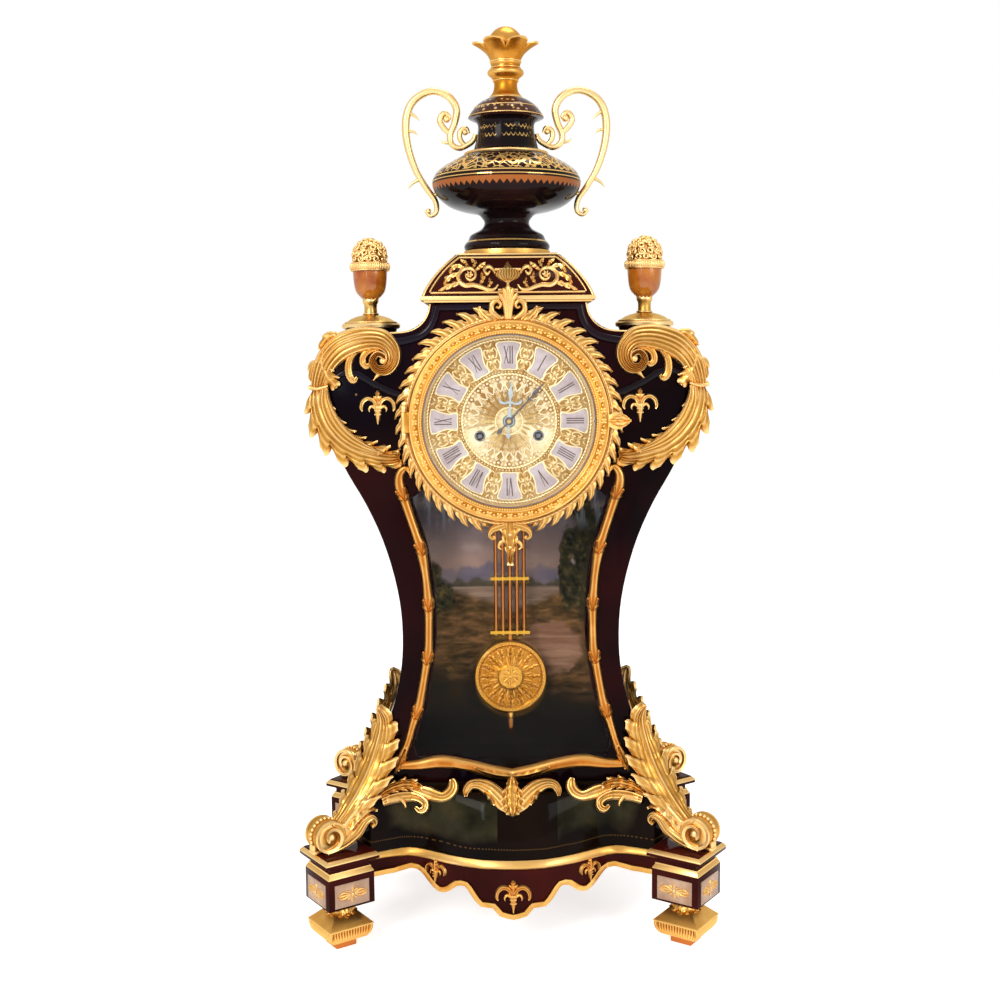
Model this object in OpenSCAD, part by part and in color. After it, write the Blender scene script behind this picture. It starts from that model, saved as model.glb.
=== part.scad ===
// Porcelain mantel clock with gilt mounts, on four diagonal corner blocks.
// Millimetres, +Z up, front towards -Y, origin at the bottom centre.

/* [Case] */
// Wall thickness of the porcelain
wall = 8; // [6:0.5:10]
// Half depth of the case, front plane to centre
case_y = 76; // [72:1:80]
// Height of the case's flat bottom
case_z = 152; // [150:1:154]
// Height of the case's neck, under the pediment
neck_z = 626; // [624:1:628]

/* [Base] */
// Corner block centre, sideways
block_x = 170.15; // [168:0.05:172]
// Corner block centre, fore and aft
block_y = 108.95; // [108:0.05:110]
// Side of a corner block
block_side = 49.6; // [48:0.1:51]
// Side of the cap over a corner block
cap_side = 57.6; // [56:0.1:59]
// Turn of a corner block about the vertical
block_turn = 34.6; // [34:0.1:35]
// Top of the caps
cap_top = 97.6; // [96:0.1:99]

/* [Dial] */
// Height of the dial's centre
dial_z = 511.9; // [510:0.1:514]
// Radius of the embossed dial plate
dial_r = 83.4; // [82:0.1:83.6]
// Radius of the dial's hole in the case
dial_hole_r = 78; // [74:1:79]
// Distance between the two winding squares
winding_spacing = 56.6; // [56:0.1:58]
// Drop of the winding squares below the centre
winding_drop = 14.2; // [13:0.1:15]

/* [Pendulum] */
// Height of the suspension point
pivot_z = 550; // [549:0.5:551]
// Height of the bob's centre
bob_z = 243; // [240:1:246]
// Radius of the bob
bob_r = 38; // [34:1:40]
// Depth position of the pendulum, fore and aft
pendulum_y = -10; // [-11:0.5:-9]

/* [Urn] */
// Radius of the urn's belly
belly_r = 75; // [70:1:78]
// Diameter of the tie rod through the urn
tie_rod_d = 6; // [4:0.5:7]

/* [Hidden] */
$fn = 64;

gilt = "goldenrod";
porcelain = "#2a0e10";
brass = "#c9a24a";
steel = "#9aa0a8";

block_foot_z = 44.7;     // underside of the corner blocks
block_top_z = 76.3;      // top of a block's body
cap_low_z = 89.6;        // underside of a cap
moulding_low_z = 80;     // gilt base moulding, lower edge
moulding_top_z = 88;     // gilt base moulding, upper edge
skirt_edge_z = 147;      // where the convex skirt turns into the cove
apron_inset = 3;         // apron's outer face behind the moulding's
apron_thick = 4;
front_y = -case_y;       // front plane of the case
hinge_x = -101.5;        // hinge line of the glazed bezel
hinge_y = -88.5;
button_x = 56;           // turn button of the back door
back_hinge_x = -68;      // hinge line of the back door
back_hinge_y = case_y + 4;
back_hinge_zs = [250, 490];
finial_x = 138.3;        // corner finials
finial_y = -10;
front_plate_y = -62;     // movement plates, front faces
back_plate_y = -20;
plate_thick = 2;
rod_gap = 7.3;           // spacing of the pendulum's rods
wind_x = winding_spacing / 2;
wind_z = dial_z - winding_drop;

// Smooth curve through the points of p, open and closed
function between(a, b, c, d, t) =
    0.5 * (2 * b + (c - a) * t + (2 * a - 5 * b + 4 * c - d) * t * t
    + (3 * b - a - 3 * c + d) * t * t * t);
function smooth(p, n = 4) =
    let (k = len(p) - 1)
    concat([for (i = [0:k - 1], j = [0:n - 1])
        between(p[max(i - 1, 0)], p[i], p[i + 1], p[min(i + 2, k)], j / n)], [p[k]]);
// The same points in reverse order, and mirrored left to right
function backwards(p) = [for (i = [len(p) - 1:-1:0]) p[i]];
function mirrored(p) = [for (q = p) [-q[0], q[1]]];
function both_halves(p) = concat(p, backwards(mirrored(p)));
// Outline of a band along route points [x, z, width]
function band(route, n = 4) =
    let (c = smooth(route, n), k = len(c) - 1,
        spot = [for (q = c) [q[0], q[1]]],
        way = [for (i = [0:k]) let (d = spot[min(i + 1, k)] - spot[max(i - 1, 0)]) d / norm(d)],
        side = [for (i = [0:k]) c[i][2] / 2 * [-way[i][1], way[i][0]]])
    concat([for (i = [0:k]) spot[i] + side[i]], [for (i = [k:-1:0]) spot[i] - side[i]]);

// A flat shape seen from the front, from depth y towards the viewer
module facing(y, thick) { translate([0, y, 0]) rotate([90, 0, 0]) linear_extrude(thick) children(); }
// A round shape about a fore-and-aft axis, its profile given as [radius, depth towards the viewer]
module turned(x, z, y) { translate([x, y, z]) rotate([90, 0, 0]) rotate_extrude() children(); }
module rod_y(x, z, y, length, r) { translate([x, y, z]) rotate([-90, 0, 0]) cylinder(h = length, r = r); }
module each_corner() {
    for (sx = [-1, 1], sy = [-1, 1]) mirror([sx < 0 ? 1 : 0, 0, 0]) mirror([0, sy < 0 ? 1 : 0, 0])
        translate([block_x, block_y, 0]) rotate([0, 0, block_turn]) children();
}

// Base plan

// Right half of the front curve, and front half of the side curve
front_run = [[0, 128], [30, 125], [60, 112], [85, 96], [103, 89], [125, 94], [144, 103]];
side_run = [[159.6, 80.5], [152, 60], [155, 30], [161, 0]];
face_slope = 0.688;      // sideways run of a block's inner face for each millimetre of depth
// Plan set in by d: on_block keeps the ends on the blocks' inner faces, lift turns it into the
// case's rectangle as it goes from 0 to 1
function plan_quarter(d, on_block, lift) =
    let (front_end = on_block ? 144 + face_slope * d : 144 - d,
        side_end = on_block ? 80.5 + d / face_slope : 80.5 - d)
    concat(
        [for (q = smooth(front_run, 2)) let (x = q[0] * front_end / 144, y = q[1] - d)
            [x + lift * (q[0] * 140 / 144 - x), y + lift * (case_y + 2 - y)]],
        [for (q = smooth(side_run, 2)) let (x = q[0] - d, y = q[1] * side_end / 80.5)
            [x + lift * (142.5 - x), y + lift * (q[1] * 76 / 80.5 - y)]]);
function inner(p) = [for (i = [1:len(p) - 2]) p[i]];
function plan(d, on_block = true, lift = 0) =
    let (q = plan_quarter(d, on_block, lift), k = len(q) - 1)
    concat([for (i = [0:k]) q[i]], [for (i = [k - 1:-1:0]) [q[i][0], -q[i][1]]],
        [for (i = [1:k]) [-q[i][0], -q[i][1]]], [for (i = [k - 1:-1:1]) [-q[i][0], q[i][1]]]);
// Solid through a row of outlines of 3D points: a plain row has a first and a last face, and a
// closed one joins its last outline to its first, as a ring does
module loft(outlines, closed = false) {
    n = len(outlines[0]);
    k = len(outlines);
    last = (k - 1) * n;
    sides = [for (i = [0:(closed ? k - 1 : k - 2)], j = [0:n - 1], h = [0, 1])
        let (m = (j + 1) % n, next = (i + 1) % k * n, a = i * n + j, d = next + m)
        h == 0 ? [a, i * n + m, d] : [a, d, next + j]];
    ends = closed ? []
        : n == 4 ? [[0, 2, 1], [0, 3, 2], [last, last + 1, last + 2], [last, last + 2, last + 3]]
        : [[for (j = [n - 1:-1:0]) j], [for (j = [0:n - 1]) last + j]];
    polyhedron([for (s = outlines, q = s) q], concat(sides, ends));
}
// The same for level outlines, each given as [height, points]
module stacked(layers, closed = false) {
    loft([for (s = layers) [for (q = s[1]) [q[0], q[1], s[0]]]], closed);
}

// Square outline with upright flutes cut in each side
function fluted_square(half, flutes, deep) = let (pitch = 2 * half / (flutes + 1))
    [for (turn = [0:90:270], i = [0:flutes], t = [[0.25, 0], [0.75, 0], [0.85, deep], [1.15, deep]])
        if (i < flutes || t[1] == 0)
            let (x = -half + (i + t[0]) * pitch, y = -half + t[1])
                [x * cos(turn) - y * sin(turn), x * sin(turn) + y * cos(turn)]];
module feet() {
    color(gilt) each_corner() {
        translate([-11, -11, 0]) cube([22, 22, 9]);
        translate([0, 0, 8.9]) linear_extrude(14.1) polygon(fluted_square(24, 8, 1.4));
        for (step = [0:3]) translate([0, 0, 23 + step * 3])
            linear_extrude(3.1) square((step == 0 ? 48 : 46) - step * 6, center = true);
        translate([0, 0, 34.9]) cylinder(h = 6, r1 = 11, r2 = 13);
        translate([0, 0, 40.8]) cylinder(h = block_foot_z - 40.8, r = 15);
    }
}

module corner_blocks() {
    color(porcelain) each_corner() {
        translate([-block_side / 2, -block_side / 2, block_foot_z])
            cube([block_side, block_side, block_top_z - block_foot_z]);
        translate([-21, -21, block_top_z]) cube([42, 42, cap_low_z - block_top_z]);
        translate([-cap_side / 2, -cap_side / 2, cap_low_z]) cube([cap_side, cap_side, cap_top - cap_low_z]);
    }
}

module square_rim(outer, hole, low, high) {
    translate([0, 0, low]) linear_extrude(high - low) difference() {
        square(outer, center = true);
        square(hole, center = true);
    }
}

module block_rims() {
    color(gilt) each_corner() {
        square_rim(block_side - 0.8, 42, block_top_z, block_top_z + 3);
        square_rim(44.5, 42, block_top_z + 3, block_top_z + 6);
        square_rim(44.5, 42, cap_low_z - 2, cap_low_z);
    }
}

// An enamel plaque with its raised gilt flower cross, centred on a block's face
module plaque() {
    translate([-18.5, -0.8, 47.5]) cube([37, 0.8, 23]);
    for (turn = [0:90:270]) translate([0, -0.7, 59]) rotate([0, turn, 0]) rotate([90, 0, 0])
        linear_extrude(0.8) polygon([[0, 1], [4, 2.4], [turn % 180 == 0 ? 12 : 8, 0], [4, -2.4], [0, -1]]);
    translate([0, -0.7, 59]) rotate([90, 0, 0]) cylinder(h = 1.4, r = 2.2);
}

module block_plaques() {
    color("#c8ab92") each_corner() for (turn = [0, 90, 180])
        rotate([0, 0, turn]) translate([0, -block_side / 2, 0]) plaque();
}

module base_board() {
    thick = 14;
    color("#5a3a22") translate([0, 0, moulding_low_z - thick])
        linear_extrude(thick) polygon(plan(apron_inset + apron_thick));
}

module base_skirt() {
    color(porcelain) stacked([[case_z - wall, plan(13, false, 0.6)], [130, plan(13, false, 0.2)],
        [moulding_top_z, plan(12, false)], [moulding_top_z, plan(4, false)], [102, plan(4, false, 0.02)],
        [116, plan(4, false, 0.08)], [129, plan(4, false, 0.16)], [139, plan(4, false, 0.25)],
        [skirt_edge_z, plan(5, false, 0.37)], [148.2, plan(5, false, 0.62)], [149.8, plan(5, false, 0.86)],
        [case_z, plan(3, false, 0.98)]]);
}

module base_moulding() {
    color(gilt) stacked([[moulding_top_z, plan(9)], [moulding_low_z, plan(9)], [moulding_low_z, plan(1.6)],
        [81.6, plan(0.3)], [83.2, plan(0.3)], [85.5, plan(1.8)], [moulding_top_z, plan(3.6)]], true);
}

// Wavy lower edges of the apron, right half at the front and front half at the side
front_wave = [[0, 31], [12, 34], [19, 42], [31, 43], [39, 52], [46, 61], [56, 60], [64, 53], [73, 50],
    [82, 57], [90, 66], [101, 69], [118, 65], [147, 64]];
side_wave = [[0, 50], [14, 52], [24, 60], [40, 66], [60, 64.4], [76, 64.4]];
function wave(run) = let (s = smooth(run, 2)) concat(backwards(mirrored(s)), inner(s), [s[len(s) - 1]]);
// Panel above a wavy edge
function above(run) = let (end = run[len(run) - 1][0]) concat(wave(run), [[end, 84], [-end, 84]]);

// Half of the plan's front curve and of its side curve, each as [along, outwards], set in by d
function front_line(d) = [for (q = smooth(front_run, 2)) [q[0] * (144 + face_slope * d) / 144, q[1] - d]];
function side_line(d) = [for (q = backwards(smooth(side_run, 2)))
    [q[1] * (80.5 + d / face_slope) / 80.5, q[0] - d]];
function beyond_first(p) = [for (i = [1:len(p) - 1]) p[i]];
// Upright strip between two lines, kept where the upright shape covers it
module strip(outer, back, shape) {
    intersection() {
        translate([0, 0, 20]) linear_extrude(moulding_low_z - 20) polygon(concat(
            backwards(mirrored(outer)), beyond_first(outer), backwards(back), beyond_first(mirrored(back))));
        facing(200, 150) polygon(shape);
    }
}

module apron() {
    color(porcelain) {
        for (turn = [0, 180]) rotate([0, 0, turn])
            strip(front_line(apron_inset), front_line(apron_inset + apron_thick), above(front_wave));
        for (turn = [90, 270]) rotate([0, 0, turn])
            strip(side_line(apron_inset), side_line(apron_inset + apron_thick), above(side_wave));
    }
}

function edge_band(run) = band([for (q = wave(run)) [q[0], q[1] + 1.5, 5]], 1);

module apron_edging() {
    color(gilt) {
        for (turn = [0, 180]) rotate([0, 0, turn])
            strip(front_line(0.4), front_line(apron_inset - 0.02), edge_band(front_wave));
        for (turn = [90, 270]) rotate([0, 0, turn])
            strip(side_line(0.4), side_line(apron_inset - 0.02), edge_band(side_wave));
    }
}

// Gilt fleur: an inverted cone, two leaves curling down and a bud above
module fleur(size = 1, thick = 3) {
    linear_extrude(thick) scale(size) {
        polygon(band([[0, -16, 2], [0, -10, 5], [0, -3, 7], [0, 2, 5]]));
        polygon(band([[0, 1, 4], [0, 6, 8], [0, 11, 6], [0, 16.5, 1]]));
        for (side = [0, 1]) mirror([side, 0])
            polygon(band([[1, 0, 5], [5, 7, 4], [11, 9, 4.4], [16, 4, 4.6], [15.5, -3, 2.5]]));
    }
}
module fleur_at(x, y, z, size, thick = 3) { translate([x, y, z]) rotate([90, 0, 0]) fleur(size, thick); }

module apron_fleurs() {
    color(gilt) for (turn = [0, 180]) rotate([0, 0, turn]) {
        fleur_at(0, -125.02, 53, 0.85, 4);
        for (side = [-1, 1]) translate([side * 76, -99.56, 69]) rotate([90, 0, side * 32.7]) fleur(0.6, 4);
    }
}

// Corner consoles, drawn in the vertical plane through the clock's axis and the block's centre line
console_route = [[143, 232, 2], [147.6, 217, 5], [153.2, 198, 8], [160.8, 176, 10], [172, 154, 11],
    [184, 137, 12], [197, 124, 12], [207, 116, 10]];
leaf_half = [[0, 236], [6, 226], [12, 214], [18, 200], [23, 186], [20.5, 180], [26, 170], [29.5, 158],
    [26, 152], [29, 142], [27, 130], [21, 124], [19, 112], [15, 98]];

module console() {
    intersection() {
        translate([0, 30, 0]) rotate([90, 0, 0]) linear_extrude(60) polygon(band(console_route, 3));
        translate([100, 0, 0]) rotate([90, 0, 90]) linear_extrude(130) polygon(both_halves(leaf_half));
    }
    translate([216, 13, cap_top + 16]) rotate([90, 0, 0]) cylinder(h = 26, r = 16);
    for (y = [-15, 13]) translate([216, y + 2, cap_top + 16]) rotate([90, 0, 0]) cylinder(h = 2, r = 10);
    translate([0, 11, 0]) rotate([90, 0, 0]) linear_extrude(22) polygon(
        [[174, 146], [188, 124], [194, 106], [206, cap_top], [216, cap_top], [216, 128], [200, 128]]);
}
module console_at(sx, sy) {
    color(gilt) mirror([sx < 0 ? 1 : 0, 0, 0]) mirror([0, sy < 0 ? 1 : 0, 0])
        rotate([0, 0, block_turn]) translate([0, -7, 0]) console();
}
module console_front_left() { console_at(-1, -1); }
module console_front_right() { console_at(1, -1); }
module console_back_left() { console_at(-1, 1); }
module console_back_right() { console_at(1, 1); }

// Centre leaf and side scrolls, which follow the skirt's upper edge and lean back on it
scroll_main = [[130, 141, 9], [118, 147, 11], [104, 149, 12], [92, 147, 10], [80, 143.6, 10.5],
    [70, 141.8, 9], [61.5, 145.5, 9.5], [57, 152, 8], [57, 159, 5]];
scroll_low = [[126, 137, 7], [114, 139.5, 8], [102, 140, 8], [92, 138, 7], [86, 133.5, 7], [86.5, 127.5, 6.5],
    [91, 125, 5], [97, 128, 2.5]];
scroll_mid = [[46.5, 144, 2.5], [46.5, 150.5, 5], [42, 157, 6.5], [33, 158, 8], [23.5, 154, 12],
    [15, 147, 13], [7, 138, 13]];
centre_leaf = [[0, 167, 3], [0, 160, 16], [0, 150, 22], [0, 139, 14], [0, 129, 3]];
scroll_lean = 25;
// Front line of the skirt's upper edge, as [sideways, forwards]
skirt_edge = let (q = plan_quarter(5, false, 0.37)) [for (i = [0:2 * len(front_run) - 2]) q[i]];
// Where a point of a scroll's flat drawing comes to lie, out millimetres in front of the edge
function on_skirt(q, out) = let (up = q[1] - skirt_edge_z)
    [q[0], up * sin(scroll_lean) - out * cos(scroll_lean) - lookup(abs(q[0]), skirt_edge),
        skirt_edge_z + up * cos(scroll_lean) + out * sin(scroll_lean)];
module skirt_scroll(route, thick) {
    edge = band(route, 2);
    last = len(edge) - 1;
    loft([for (i = [0:(last - 1) / 2]) let (left = edge[i], right = edge[last - i])
        [on_skirt(left, 0), on_skirt(right, 0), on_skirt(right, thick), on_skirt(left, thick)]]);
}
module base_cartouche() {
    color(gilt) for (turn = [0, 180]) rotate([0, 0, turn]) {
        for (side = [0, 1]) mirror([side, 0, 0]) {
            skirt_scroll(scroll_main, 5);
            skirt_scroll(scroll_low, 4);
            skirt_scroll(scroll_mid, 4.5);
        }
        skirt_scroll(centre_leaf, 6);
    }
}

// Case

case_side = [[143.5, 152], [138.5, 167], [133, 184], [126, 206], [117, 230], [110, 260], [107, 290],
    [108, 325], [114, 360], [125, 397], [140, 431], [157, 461], [168, 484], [177, 510], [181, 538],
    [179, 566], [168, 594]];
case_shoulder = [[166, 598], [112, 598], [96, 600], [85, 606], [78, 615], [75.5, 626]];
function case_outline() = both_halves(concat(smooth(case_side, 3), smooth(case_shoulder, 2)));
function case_room() = both_halves(concat([[139, case_z - 10]], [for (q = smooth(case_side, 2))
    if (q[1] > case_z + 8 && q[1] < 580) [q[0] - wall - 0.2, q[1]]],
    [[158, 588], [84, 588], [68, 600], [67, neck_z - 6]]));
frame_side = [[111, 174], [105, 190], [91, 233], [84.5, 268], [80.5, 303], [81.5, 337], [84.5, 369],
    [91, 401], [103, 437], [108, 458]];
frame_foot = [[0, 158], [22, 162], [45, 169], [71, 172.5], [93, 170], [113, 170]];
// Window, set in from the frame's middle line by d, its top an arc below the dial
function window_outline(d) = both_halves(concat(
    [for (q = smooth(frame_foot, 2)) if (q[0] < 94) [q[0], q[1] + d]],
    [for (q = smooth(frame_side, 2)) if (q[1] > 189 && q[1] < 449) [q[0] - d, q[1]]],
    [for (a = [-38:-6:-86]) [92 * cos(a), dial_z + 92 * sin(a)]]));

module case_body() {
    color(porcelain) difference() {
        facing(case_y, 2 * case_y) polygon(case_outline());
        facing(case_y - wall, 2 * (case_y - wall)) polygon(case_room());
        facing(0, 90) polygon(window_outline(7.5));
        rod_y(0, dial_z, -90, 40, dial_hole_r);
        translate([-62, case_y - 20, 215]) cube([124, 40, 330]);
        translate([0, 0, neck_z - 12]) cylinder(h = 20, d = tie_rod_d + 1);
    }
}

// Gilt twig frame: rails that thicken at their leaf knots, the side ones curling into the bezel
side_twig = [[113.5, 166, 5], [111, 176, 10], [104, 192, 8], [97.5, 213, 8.5], [93.5, 225, 13], [90, 237, 9],
    [84.5, 268, 8.5], [82.5, 280, 12], [81.2, 291, 8.5], [80.5, 322, 9], [80.8, 333, 13], [81.6, 344, 9],
    [83.6, 365, 8.5], [87.6, 389, 13], [91.4, 401, 9], [102, 434, 9.5], [107, 450, 11], [106, 462, 9],
    [102, 468, 6]];
foot_twig = [[0, 158, 9], [22, 162, 10], [45, 169, 9], [71, 172.5, 10.5], [93, 170, 8.5], [114, 170, 6]];
module window_frame() {
    color(gilt) difference() {
        union() {
            facing(front_y, 6) polygon(band(concat([for (i = [len(foot_twig) - 1:-1:1])
                [-foot_twig[i][0], foot_twig[i][1], foot_twig[i][2]]], foot_twig), 2));
            for (side = [0, 1]) mirror([side, 0, 0]) facing(front_y, 6.6) polygon(band(side_twig, 2));
        }
        facing(front_y + 1, 3.1) polygon(window_outline(4.8));
    }
}

module window_glass() {
    color([0.75, 0.82, 0.85, 0.35]) facing(front_y, 2) difference() {
        polygon(window_outline(4.9));
        translate([0, dial_z]) circle(r = 108.2);
    }
}

module painted_panel() {
    edge = concat([[133, case_z + 2]], [for (q = smooth(case_side, 2)) if (q[1] > case_z + 8 && q[1] < 470)
        [q[0] - wall - 0.2, q[1]]]);
    color("#6b5a48") facing(7, 3) polygon(both_halves(edge));
}

// Acanthus mount that rolls over each shoulder and ends in a volute
shoulder_route = [[109.5, 483, 8], [122, 479, 16], [138, 479, 23], [155, 487, 28], [168, 504, 31],
    [177, 526, 30], [179, 547, 24], [173, 562, 20], [161, 575, 20], [143, 586, 20], [126, 592, 15],
    [111, 587, 12], [107, 575, 10], [113, 565, 8.5], [122, 564, 7.5], [127, 571, 6.5], [123, 577, 6]];
shoulder_tendrils = [[[158, 566, 5], [150, 570, 6], [142, 563, 6], [139, 553, 4], [143, 550, 2]],
    [[150, 575, 5], [138, 573, 5], [132, 565, 5], [131, 558, 3]]];
// Lobes of its leaf, each from the leaf's middle to the lobe's tip
shoulder_lobes = [[[178, 530, 16], [190, 524, 12], [201, 517, 2]],
    [[174, 514, 16], [184, 506, 12], [194, 496, 2]], [[164, 500, 16], [173, 490, 12], [182, 480, 2]],
    [[150, 488, 14], [156, 478, 10], [161, 467, 2]], [[134, 482, 12], [137, 473, 8], [139.5, 464, 2]]];
module shoulder_mount(side) {
    color(gilt) mirror([side, 0, 0]) {
        facing(front_y, 5) {
            polygon(band(shoulder_route, 3));
            for (route = concat(shoulder_tendrils, shoulder_lobes)) polygon(band(route, 3));
        }
        facing(front_y - 4.9, 4) polygon(band([for (q = shoulder_route) [q[0], q[1], q[2] * 0.6]], 3));
    }
}
module shoulder_mount_left() { shoulder_mount(1); }
module shoulder_mount_right() { shoulder_mount(0); }
module shoulder_fleurs() { color(gilt) for (x = [-127, 127]) fleur_at(x, front_y, 526, 1, 4); }

module at_finials() { for (side = [-1, 1]) translate([side * finial_x, finial_y, 0]) children(); }
module finial_bases() {
    color(gilt) at_finials() rotate_extrude() polygon([[0, 603], [26, 603], [29, 606], [29, 609.5],
        [24, 611], [22, 615], [12, 617], [7, 622], [6, 627], [8, 630], [8, 632], [0, 632]]);
    color(porcelain) at_finials() translate([0, 0, 598]) cylinder(h = 5.1, r = 25);
}
module finial_cups() {
    color("#a6652a") at_finials() rotate_extrude() polygon(concat([[0, 632], [6.5, 632]],
        smooth([[6.5, 632], [9, 638], [13, 646], [16.5, 654], [18, 662]], 3), [[0, 662]]));
}
module finial_flowers() {
    color(gilt) at_finials() rotate_extrude() polygon(concat([[0, 662], [19, 662], [20.5, 664],
        [19.5, 667.5]], smooth([[14.5, 668.5], [17, 673], [15, 679], [16.5, 684], [12, 690], [6, 692],
        [3, 695]], 2), [[0, 695]]));
}

// Dial and bezel

// Foliate surround: a ring with a leafy rim, a crest above and a pendant below
leaf_count = 44;
function leafy_rim() = [for (i = [0:leaf_count - 1], s = [[0, 101], [0.45, 106], [0.8, 107.5], [0.95, 103]])
    let (a = (i + s[0]) * 360 / leaf_count) s[1] * [cos(a), sin(a)]];
module bezel_surround() {
    color(gilt) {
        translate([0, 0, dial_z]) facing(front_y, 8.6) difference() {
            polygon(leafy_rim());
            circle(r = 84);
        }
        facing(front_y - 6.3, 5) polygon(both_halves([[0, 641], [5, 636], [7, 626], [13, 622], [20, 626],
            [22, 619], [30, 612], [0, 611]]));
        facing(front_y - 2, 7) polygon(both_halves([[0, 414], [20, 410], [17, 402], [9, 398], [11, 388],
            [5, 379], [0, 371]]));
        for (z = [dial_z - 16, dial_z + 10]) translate([hinge_x, hinge_y, z]) difference() {
            union() {
                cylinder(h = 6, r = 2.6);
                translate([-2.6, 0, 0]) cube([5.2, 4.5, 6]);
            }
            translate([0, 0, -1]) cylinder(h = 8, r = 1.2);
        }
    }
}

module bezel_ring() {
    color(gilt) {
        difference() {
            turned(0, dial_z, -85) polygon([[82.4, 0], [97.5, 0], [98, 3], [96, 6.5], [92, 7.2], [90, 5.6],
                [87, 7.6], [84.5, 7], [82.4, 4]]);
            rod_y(0, dial_z, -88.1, 4, 84);
            for (z = [dial_z - 16.4, dial_z + 9.6])
                translate([hinge_x - 3, hinge_y - 3.2, z]) cube([6.4, 8, 6.8]);
        }
        translate([hinge_x, hinge_y, dial_z - 9.7]) difference() {
            union() {
                cylinder(h = 19.4, r = 2.6);
                translate([0, -2.4, 0]) cube([6, 4.8, 19.4]);
            }
            translate([0, 0, -1]) cylinder(h = 22, r = 1.26);
        }
        facing(-87, 5) polygon([[95, 507], [102, 503], [112, 507], [117, 512], [112, 517], [102, 521],
            [95, 517]]);
    }
}
module bezel_glass() { color([0.8, 0.85, 0.88, 0.3]) rod_y(0, dial_z, -88.05, 2, 83.95); }
// Pins of the bezel's hinge and of the back door's two hinges, with their fixed leaves
module hinge_pins() {
    color(brass) {
        translate([hinge_x, hinge_y, dial_z - 16]) cylinder(h = 32, r = 1.2);
        translate([hinge_x, hinge_y, dial_z + 16]) cylinder(h = 1.5, r = 2.2);
        for (z = back_hinge_zs) translate([back_hinge_x, back_hinge_y + 0.3, z - 10]) {
            cylinder(h = 30, r = 1.5);
            cylinder(h = 9.7, r = 3);
            translate([-14, -4.3, 0]) cube([14, 3, 9.7]);
        }
    }
}

module dial_plate() {
    color("#dccbb1") difference() {
        union() {
            rod_y(0, dial_z, front_y - 3, 3, dial_r);
            for (r = [[46.5, 44.5], [14, 12], [80.5, 78.5]]) difference() {
                rod_y(0, dial_z, front_y - 3.6, 2, r[0]);
                rod_y(0, dial_z, front_y - 5, 8, r[1]);
            }
        }
        rod_y(0, dial_z, front_y - 5, 10, 6.2);
        for (side = [-1, 1]) rod_y(side * wind_x, wind_z, front_y - 5, 10, 4.2);
    }
}

// Twelve enamel cartouches with waisted sides
module dial_cartouches() {
    half = concat([[0, 50.5]], smooth([[8, 50], [7, 57], [8.3, 64], [10.6, 70], [11.8, 75]], 2), [[0, 76.5]]);
    color("#b39f9b") for (i = [0:11]) translate([0, front_y - 3, dial_z]) rotate([0, 30 * i, 0])
        rotate([90, 0, 0]) linear_extrude(0.8) polygon(both_halves(half));
}

// Hands, drawn pointing to twelve and turned to seven minutes past
module hour_hand() {
    color(steel) translate([0, 0, dial_z]) rotate([0, 3.6, 0]) facing(-81.3, 0.8) difference() {
        union() {
            polygon(band([[0, 3, 5], [0, 11, 2.6], [0, 22, 2], [0, 26.5, 4.6], [0, 29, 4], [0, 32, 1.8],
                [0, 39, 0.7]], 3));
            polygon(band([[-10.6, 21.5, 1.4], [-9.4, 18.4, 2.6], [-5, 17, 1.8], [0, 18.6, 2.2], [5, 17, 1.8],
                [9.4, 18.4, 2.6], [10.6, 21.5, 1.4]], 3));
            polygon(band([[0, -3, 2], [0, -11, 1.6], [0, -14, 5], [0, -17, 0.8]], 3));
            circle(r = 5);
        }
        circle(r = 3.5);
    }
    color(brass) difference() {
        union() {
            rod_y(0, dial_z, -81.4, 13, 4.4);
            gear(0, dial_z, -70, 1.4, 40, 0.48, 90);
        }
        rod_y(0, dial_z, -83, 16, 3.05);
    }
}
module minute_hand() {
    color(steel) translate([0, 0, dial_z]) rotate([0, 43, 0]) facing(-82.7, 0.8) difference() {
        union() {
            polygon(band([[0, 3, 2.6], [0, 12, 1.6], [0, 27, 1.4], [0, 33, 1.8], [0, 38, 4.2], [0, 42, 2.2],
                [0, 49, 0.6]], 3));
            polygon(band([[-3.2, 30.4, 1], [0, 28.6, 1.6], [3.2, 30.4, 1]], 3));
            polygon(band([[0, -3, 1.8], [0, -10, 1.6], [0, -13, 4.6], [0, -17, 0.8]], 3));
            circle(r = 4);
        }
        circle(r = 2);
    }
    color(brass) difference() {
        rod_y(0, dial_z, -84.8, 1.4, 3.6);
        rod_y(0, dial_z, -85.4, 3, 2);
    }
}

// Movement

// A wheel or pinion facing forwards, a tooth at the given angle
module gear(x, z, y, thick, teeth, size, tooth_at) {
    r = teeth * size / 2;
    step = 360 / teeth;
    points = [for (i = [0:teeth - 1], s = [[-0.27, -1.15], [-0.1, 0.8], [0.1, 0.8], [0.27, -1.15]])
        let (a = tooth_at + (i + s[0]) * step) (r + s[1] * size) * [cos(a), sin(a)]];
    translate([x, 0, z]) facing(y + thick, thick) polygon(points);
}
// Where an arbor lies that is r1 from point a and r2 from point b
function reach(a, b, r1, r2, side) =
    let (d = norm(b - a), u = (b - a) / d, k = (r1 * r1 - r2 * r2 + d * d) / (2 * d),
        h = sqrt(r1 * r1 - k * k))
    a + k * u + side * h * [-u[1], u[0]];
function towards(a, b) = atan2(b[1] - a[1], b[0] - a[0]);
centre = [0, dial_z];
barrel_at = [wind_x, wind_z];
intermediate_at = reach(barrel_at, centre, 28.8, 21, 1);
escape_at = [0, pivot_z - 21];
third_at = reach(centre, escape_at, 17, 16.5, 1);
minute_at = [0, dial_z - 12];

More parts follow.
